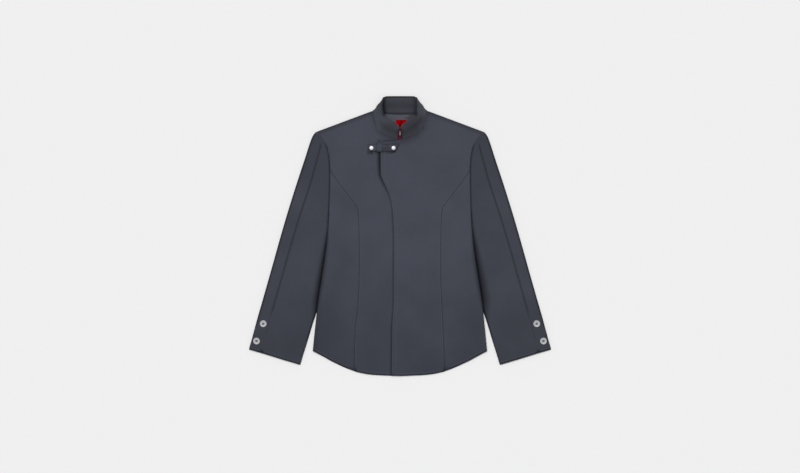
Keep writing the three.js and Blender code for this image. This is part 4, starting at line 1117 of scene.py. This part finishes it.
# How far the ends are cut back, and how much more for each millimetre down from the top.
LEFT_END = (3, 0.46)
LEFT_END_BAND = (-26, 18)
RIGHT_END = (2.5, 0.18)
RIGHT_END_BAND = (-68, -18)
TAB_TOP = 253.3
TAB_BOTTOM = 234.3
TAB_SHORTER = 0.92  # its width across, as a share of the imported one
KEEPER_SHORTER = 0.85
# Painted shade along the tab's and the keeper's edges, and across the tab's lower half.
STRAP_SHADE = (2.2, 0.5)
KEEPER_SHADE = (2, 0.5)
TAB_LOW_SHADE = [
    [(-88, 234.3, 2.2, 0.6), (-14, 234.3, 2.2, 0.6)],
    [(-64, 239, 5, 0.15), (-50, 239.5, 8, 0.36), (-28, 239.5, 8, 0.36), (-20, 239, 3, 0.1)],
]
SLOT = ((-43.5, -28.5), (244.6, 250.2))  # x of its ends, and y of its two stitched edges
SLOT_PITCH = 0.9
SLOT_BAR = (2.4, 0.9, 0.7)  # a stitch's length, width and height
DARK_THREAD = "#23252b"

tab = finer_copy("tab", 3, halvings=0)
tab_points = points_of(tab)
tab_points[:, 1] = TAB_TOP - (TAB_TOP - tab_points[:, 1]) * TAB_SHORTER
x, down = tab_points[:, 0].copy(), TAB_TOP - tab_points[:, 1]
tab_points[:, 0] -= (LEFT_END[0] + LEFT_END[1] * down) * ramp(x, LEFT_END_BAND)
tab_points[:, 0] += (RIGHT_END[0] + RIGHT_END[1] * down) * ramp(x, RIGHT_END_BAND)
move_points(tab, tab_points)
set_shade(tab, edge_shade(tab_points, upper_rim(tab), *STRAP_SHADE), shadow(tab_points, TAB_LOW_SHADE))
dress(tab, body_twill, "cloth", "tab")
for name, y in (("lower", TAB_BOTTOM + STRAP_STITCH), ("upper", TAB_TOP - STRAP_STITCH)):
    sew("tab_stitches_" + name, straight_row(*STRAP_ROWS[name], y), tab, slate_thread)
dark_thread = thread("spun polyester thread, near black", DARK_THREAD)
for name, y in zip(("lower", "upper"), SLOT[1]):
    row = straight_row(*SLOT[0], y, SLOT_PITCH)
    sew("tab_slot_stitches_" + name, row, tab, dark_thread, capsule(*SLOT_BAR), turn=90)

keeper = finer_copy("tab_keeper", 3, halvings=0)
keeper_points = points_of(keeper)
keeper_top = keeper_points[:, 1].max()
keeper_points[:, 1] = keeper_top - (keeper_top - keeper_points[:, 1]) * KEEPER_SHORTER
move_points(keeper, keeper_points)
set_shade(keeper, edge_shade(keeper_points, upper_rim(keeper), *KEEPER_SHADE))
dress(keeper, body_twill, "cloth", "tab_keeper")

# Snaps
# Round caps pressed from brass, with satin nickel plate and a face that rises in steps. They are
# riveted through the ends of the tab.
SATIN_NICKEL = "#b4b4b9"
SNAP_RADIUS = 6.2
SNAP_RIM = 1.1
SNAP_STEPS = ((0.35, 0.45), (0.7, 0.3), (1.6, 0.2), (2.2, 0.1))  # in, then up


def new_disc(name, radius, depth, sides=48):
    """A disc whose underside lies at height 0, in edit mode with its top face selected."""
    middle = (0, 0, depth / 2 * MM)
    size = {"radius": radius * MM, "depth": depth * MM}
    bpy.ops.mesh.primitive_cylinder_add(vertices=sides, location=middle, **size)
    disc = bpy.context.active_object
    disc.name = name
    bpy.ops.object.transform_apply(location=True)
    bpy.ops.object.mode_set(mode="EDIT")
    select_parts(disc, "FACE", lambda face: face.normal.z > 0.9)
    return disc


def step_in(thickness, rise):
    """Insets the selected face and raises it."""
    bpy.ops.mesh.inset(thickness=thickness * MM)
    bpy.ops.transform.translate(value=(0, 0, rise * MM))


def set_down(piece, node):
    """Moves a piece from the origin to the middle of a node's underside."""
    low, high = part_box(node)
    points = points_of(piece)
    points += np.array([(low[0] + high[0]) / 2, (low[1] + high[1]) / 2, low[2]]) / MM
    move_points(piece, points)


# Satin plate scatters the light, so that the caps look pale grey.
satin_nickel = nickel_plate("pressed brass, satin nickel-plated", SATIN_NICKEL, roughness=0.5)
for side in ("left", "right"):
    snap = new_disc("snap_" + side, SNAP_RADIUS, SNAP_RIM)
    for inward, rise in SNAP_STEPS:
        step_in(inward, rise)
    bpy.ops.object.mode_set(mode="OBJECT")
    set_down(snap, "snap_cap_" + side)
    dress(snap, satin_nickel, "metal", "snap_cap_" + side)

# Cuff buttons
# Two to a cuff, cast in polyester with a raised rim, a dished middle and four holes. Two crossed
# bars of dark thread hold each of them.
BUTTON_RADIUS = 9.2
BUTTON_DEPTH = 2.6
BUTTON_STEPS = ((0.5, 0.35), (1.4, 0), (0.9, -0.75), (1.2, -0.1))  # in, then up
HOLE_AT = 1.9
HOLE_RADIUS = 1.4
DRILL_LENGTH = 20
BUTTON = "#a6a7aa"
CLOUDS = 350  # to a metre
THREAD_BAR = (6.4, 2.2, 1.0)  # length, width and height
THREAD_SUNK = 0.5  # below the button's flat top
THREAD_OVER = 0.3  # one bar over the other


def cast_polyester(name, colour):
    """Cast polyester, tumbled: smooth and fairly glossy, with a faint pearly cloudiness."""
    material, shader = new_material(name, {"Roughness": 0.42, "Coat Weight": 0.1, "Coat Roughness": 0.25})
    place = add_node(material, "TexCoord").outputs["Object"]
    clouds = noise(material, place, CLOUDS, detail=4)
    dark, light = shades_of(colour, 0.12)
    paint(material, shader, between(material, stretched(material, clouds, 0.35, 0.7), dark, light))
    emboss(material, shader, clouds, strength=0.15, depth=0.05)
    return material


polyester = cast_polyester("cast polyester, pale grey", BUTTON)
master = new_disc("button", BUTTON_RADIUS, BUTTON_DEPTH)
for inward, rise in BUTTON_STEPS:
    step_in(inward, rise)
bpy.ops.object.mode_set(mode="OBJECT")
drill_size = {"radius": HOLE_RADIUS * MM, "depth": DRILL_LENGTH * MM}
for corner in range(4):
    angle = math.radians(45 + 90 * corner)
    spot = (HOLE_AT * math.sqrt(2) * math.cos(angle) * MM, HOLE_AT * math.sqrt(2) * math.sin(angle) * MM, 0)
    bpy.ops.mesh.primitive_cylinder_add(vertices=20, location=spot, **drill_size)
    drill = bpy.context.active_object
    carry_out(master, "BOOLEAN", operation="DIFFERENCE", object=drill)
    bpy.data.objects.remove(drill)
for place in ("upper_left", "upper_right", "lower_left", "lower_right"):
    node = "cuff_button_" + place
    button = bpy.data.objects.new(node + "_cast", master.data.copy())
    bpy.context.collection.objects.link(button)
    set_down(button, node)
    dress(button, polyester, "button", node)
    low, high = (Vector(corner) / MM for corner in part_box(node))
    middle = (low + high) / 2
    height = low.z + BUTTON_DEPTH - THREAD_SUNK
    cross = [
        ((middle.x, middle.y, height), (1, 1, 0)),
        ((middle.x, middle.y, height + THREAD_OVER), (-1, 1, 0)),
    ]
    dress(lay_copies(node + "_thread", capsule(*THREAD_BAR), cross), dark_thread, "cloth")
bpy.data.objects.remove(master)

# Floor and light
# A plain table top with matte pale paint, in a pale room. The light is soft, and comes from beyond
# the collar and a little from the wearer's right.
FLOOR_SIZE = 60000
FLOOR = "#e8e8e8"
ROOM = "#efefef"
ROOM_STRENGTH = 0.38
LAMP_STRENGTH = 2.45
LAMP_SPREAD = 32  # in degrees
LAMP_TILT = (-16, -6)  # in degrees, round x and y

bpy.ops.mesh.primitive_plane_add(size=FLOOR_SIZE * MM, location=(0, 0, 0))
floor = bpy.context.active_object
floor.name = "floor"
# The paint is matte and even, so that it shows nothing but the garment's soft shadow.
floor_paint, _ = new_material("matte paint, pale grey", {"Base Color": linear(FLOOR), "Roughness": 0.9})
floor.data.materials.append(floor_paint)

world = bpy.data.worlds.new("room")
bpy.context.scene.world = world
world.use_nodes = True
world.node_tree.nodes["Background"].inputs["Color"].default_value = linear(ROOM)
world.node_tree.nodes["Background"].inputs["Strength"].default_value = ROOM_STRENGTH

lamp_data = bpy.data.lights.new("softbox", "SUN")
lamp_data.energy = LAMP_STRENGTH
lamp_data.angle = math.radians(LAMP_SPREAD)
lamp = bpy.data.objects.new("softbox", lamp_data)
bpy.context.collection.objects.link(lamp)
lamp.rotation_euler = (math.radians(LAMP_TILT[0]), math.radians(LAMP_TILT[1]), 0)
bpy.context.scene.view_settings.view_transform = "Standard"
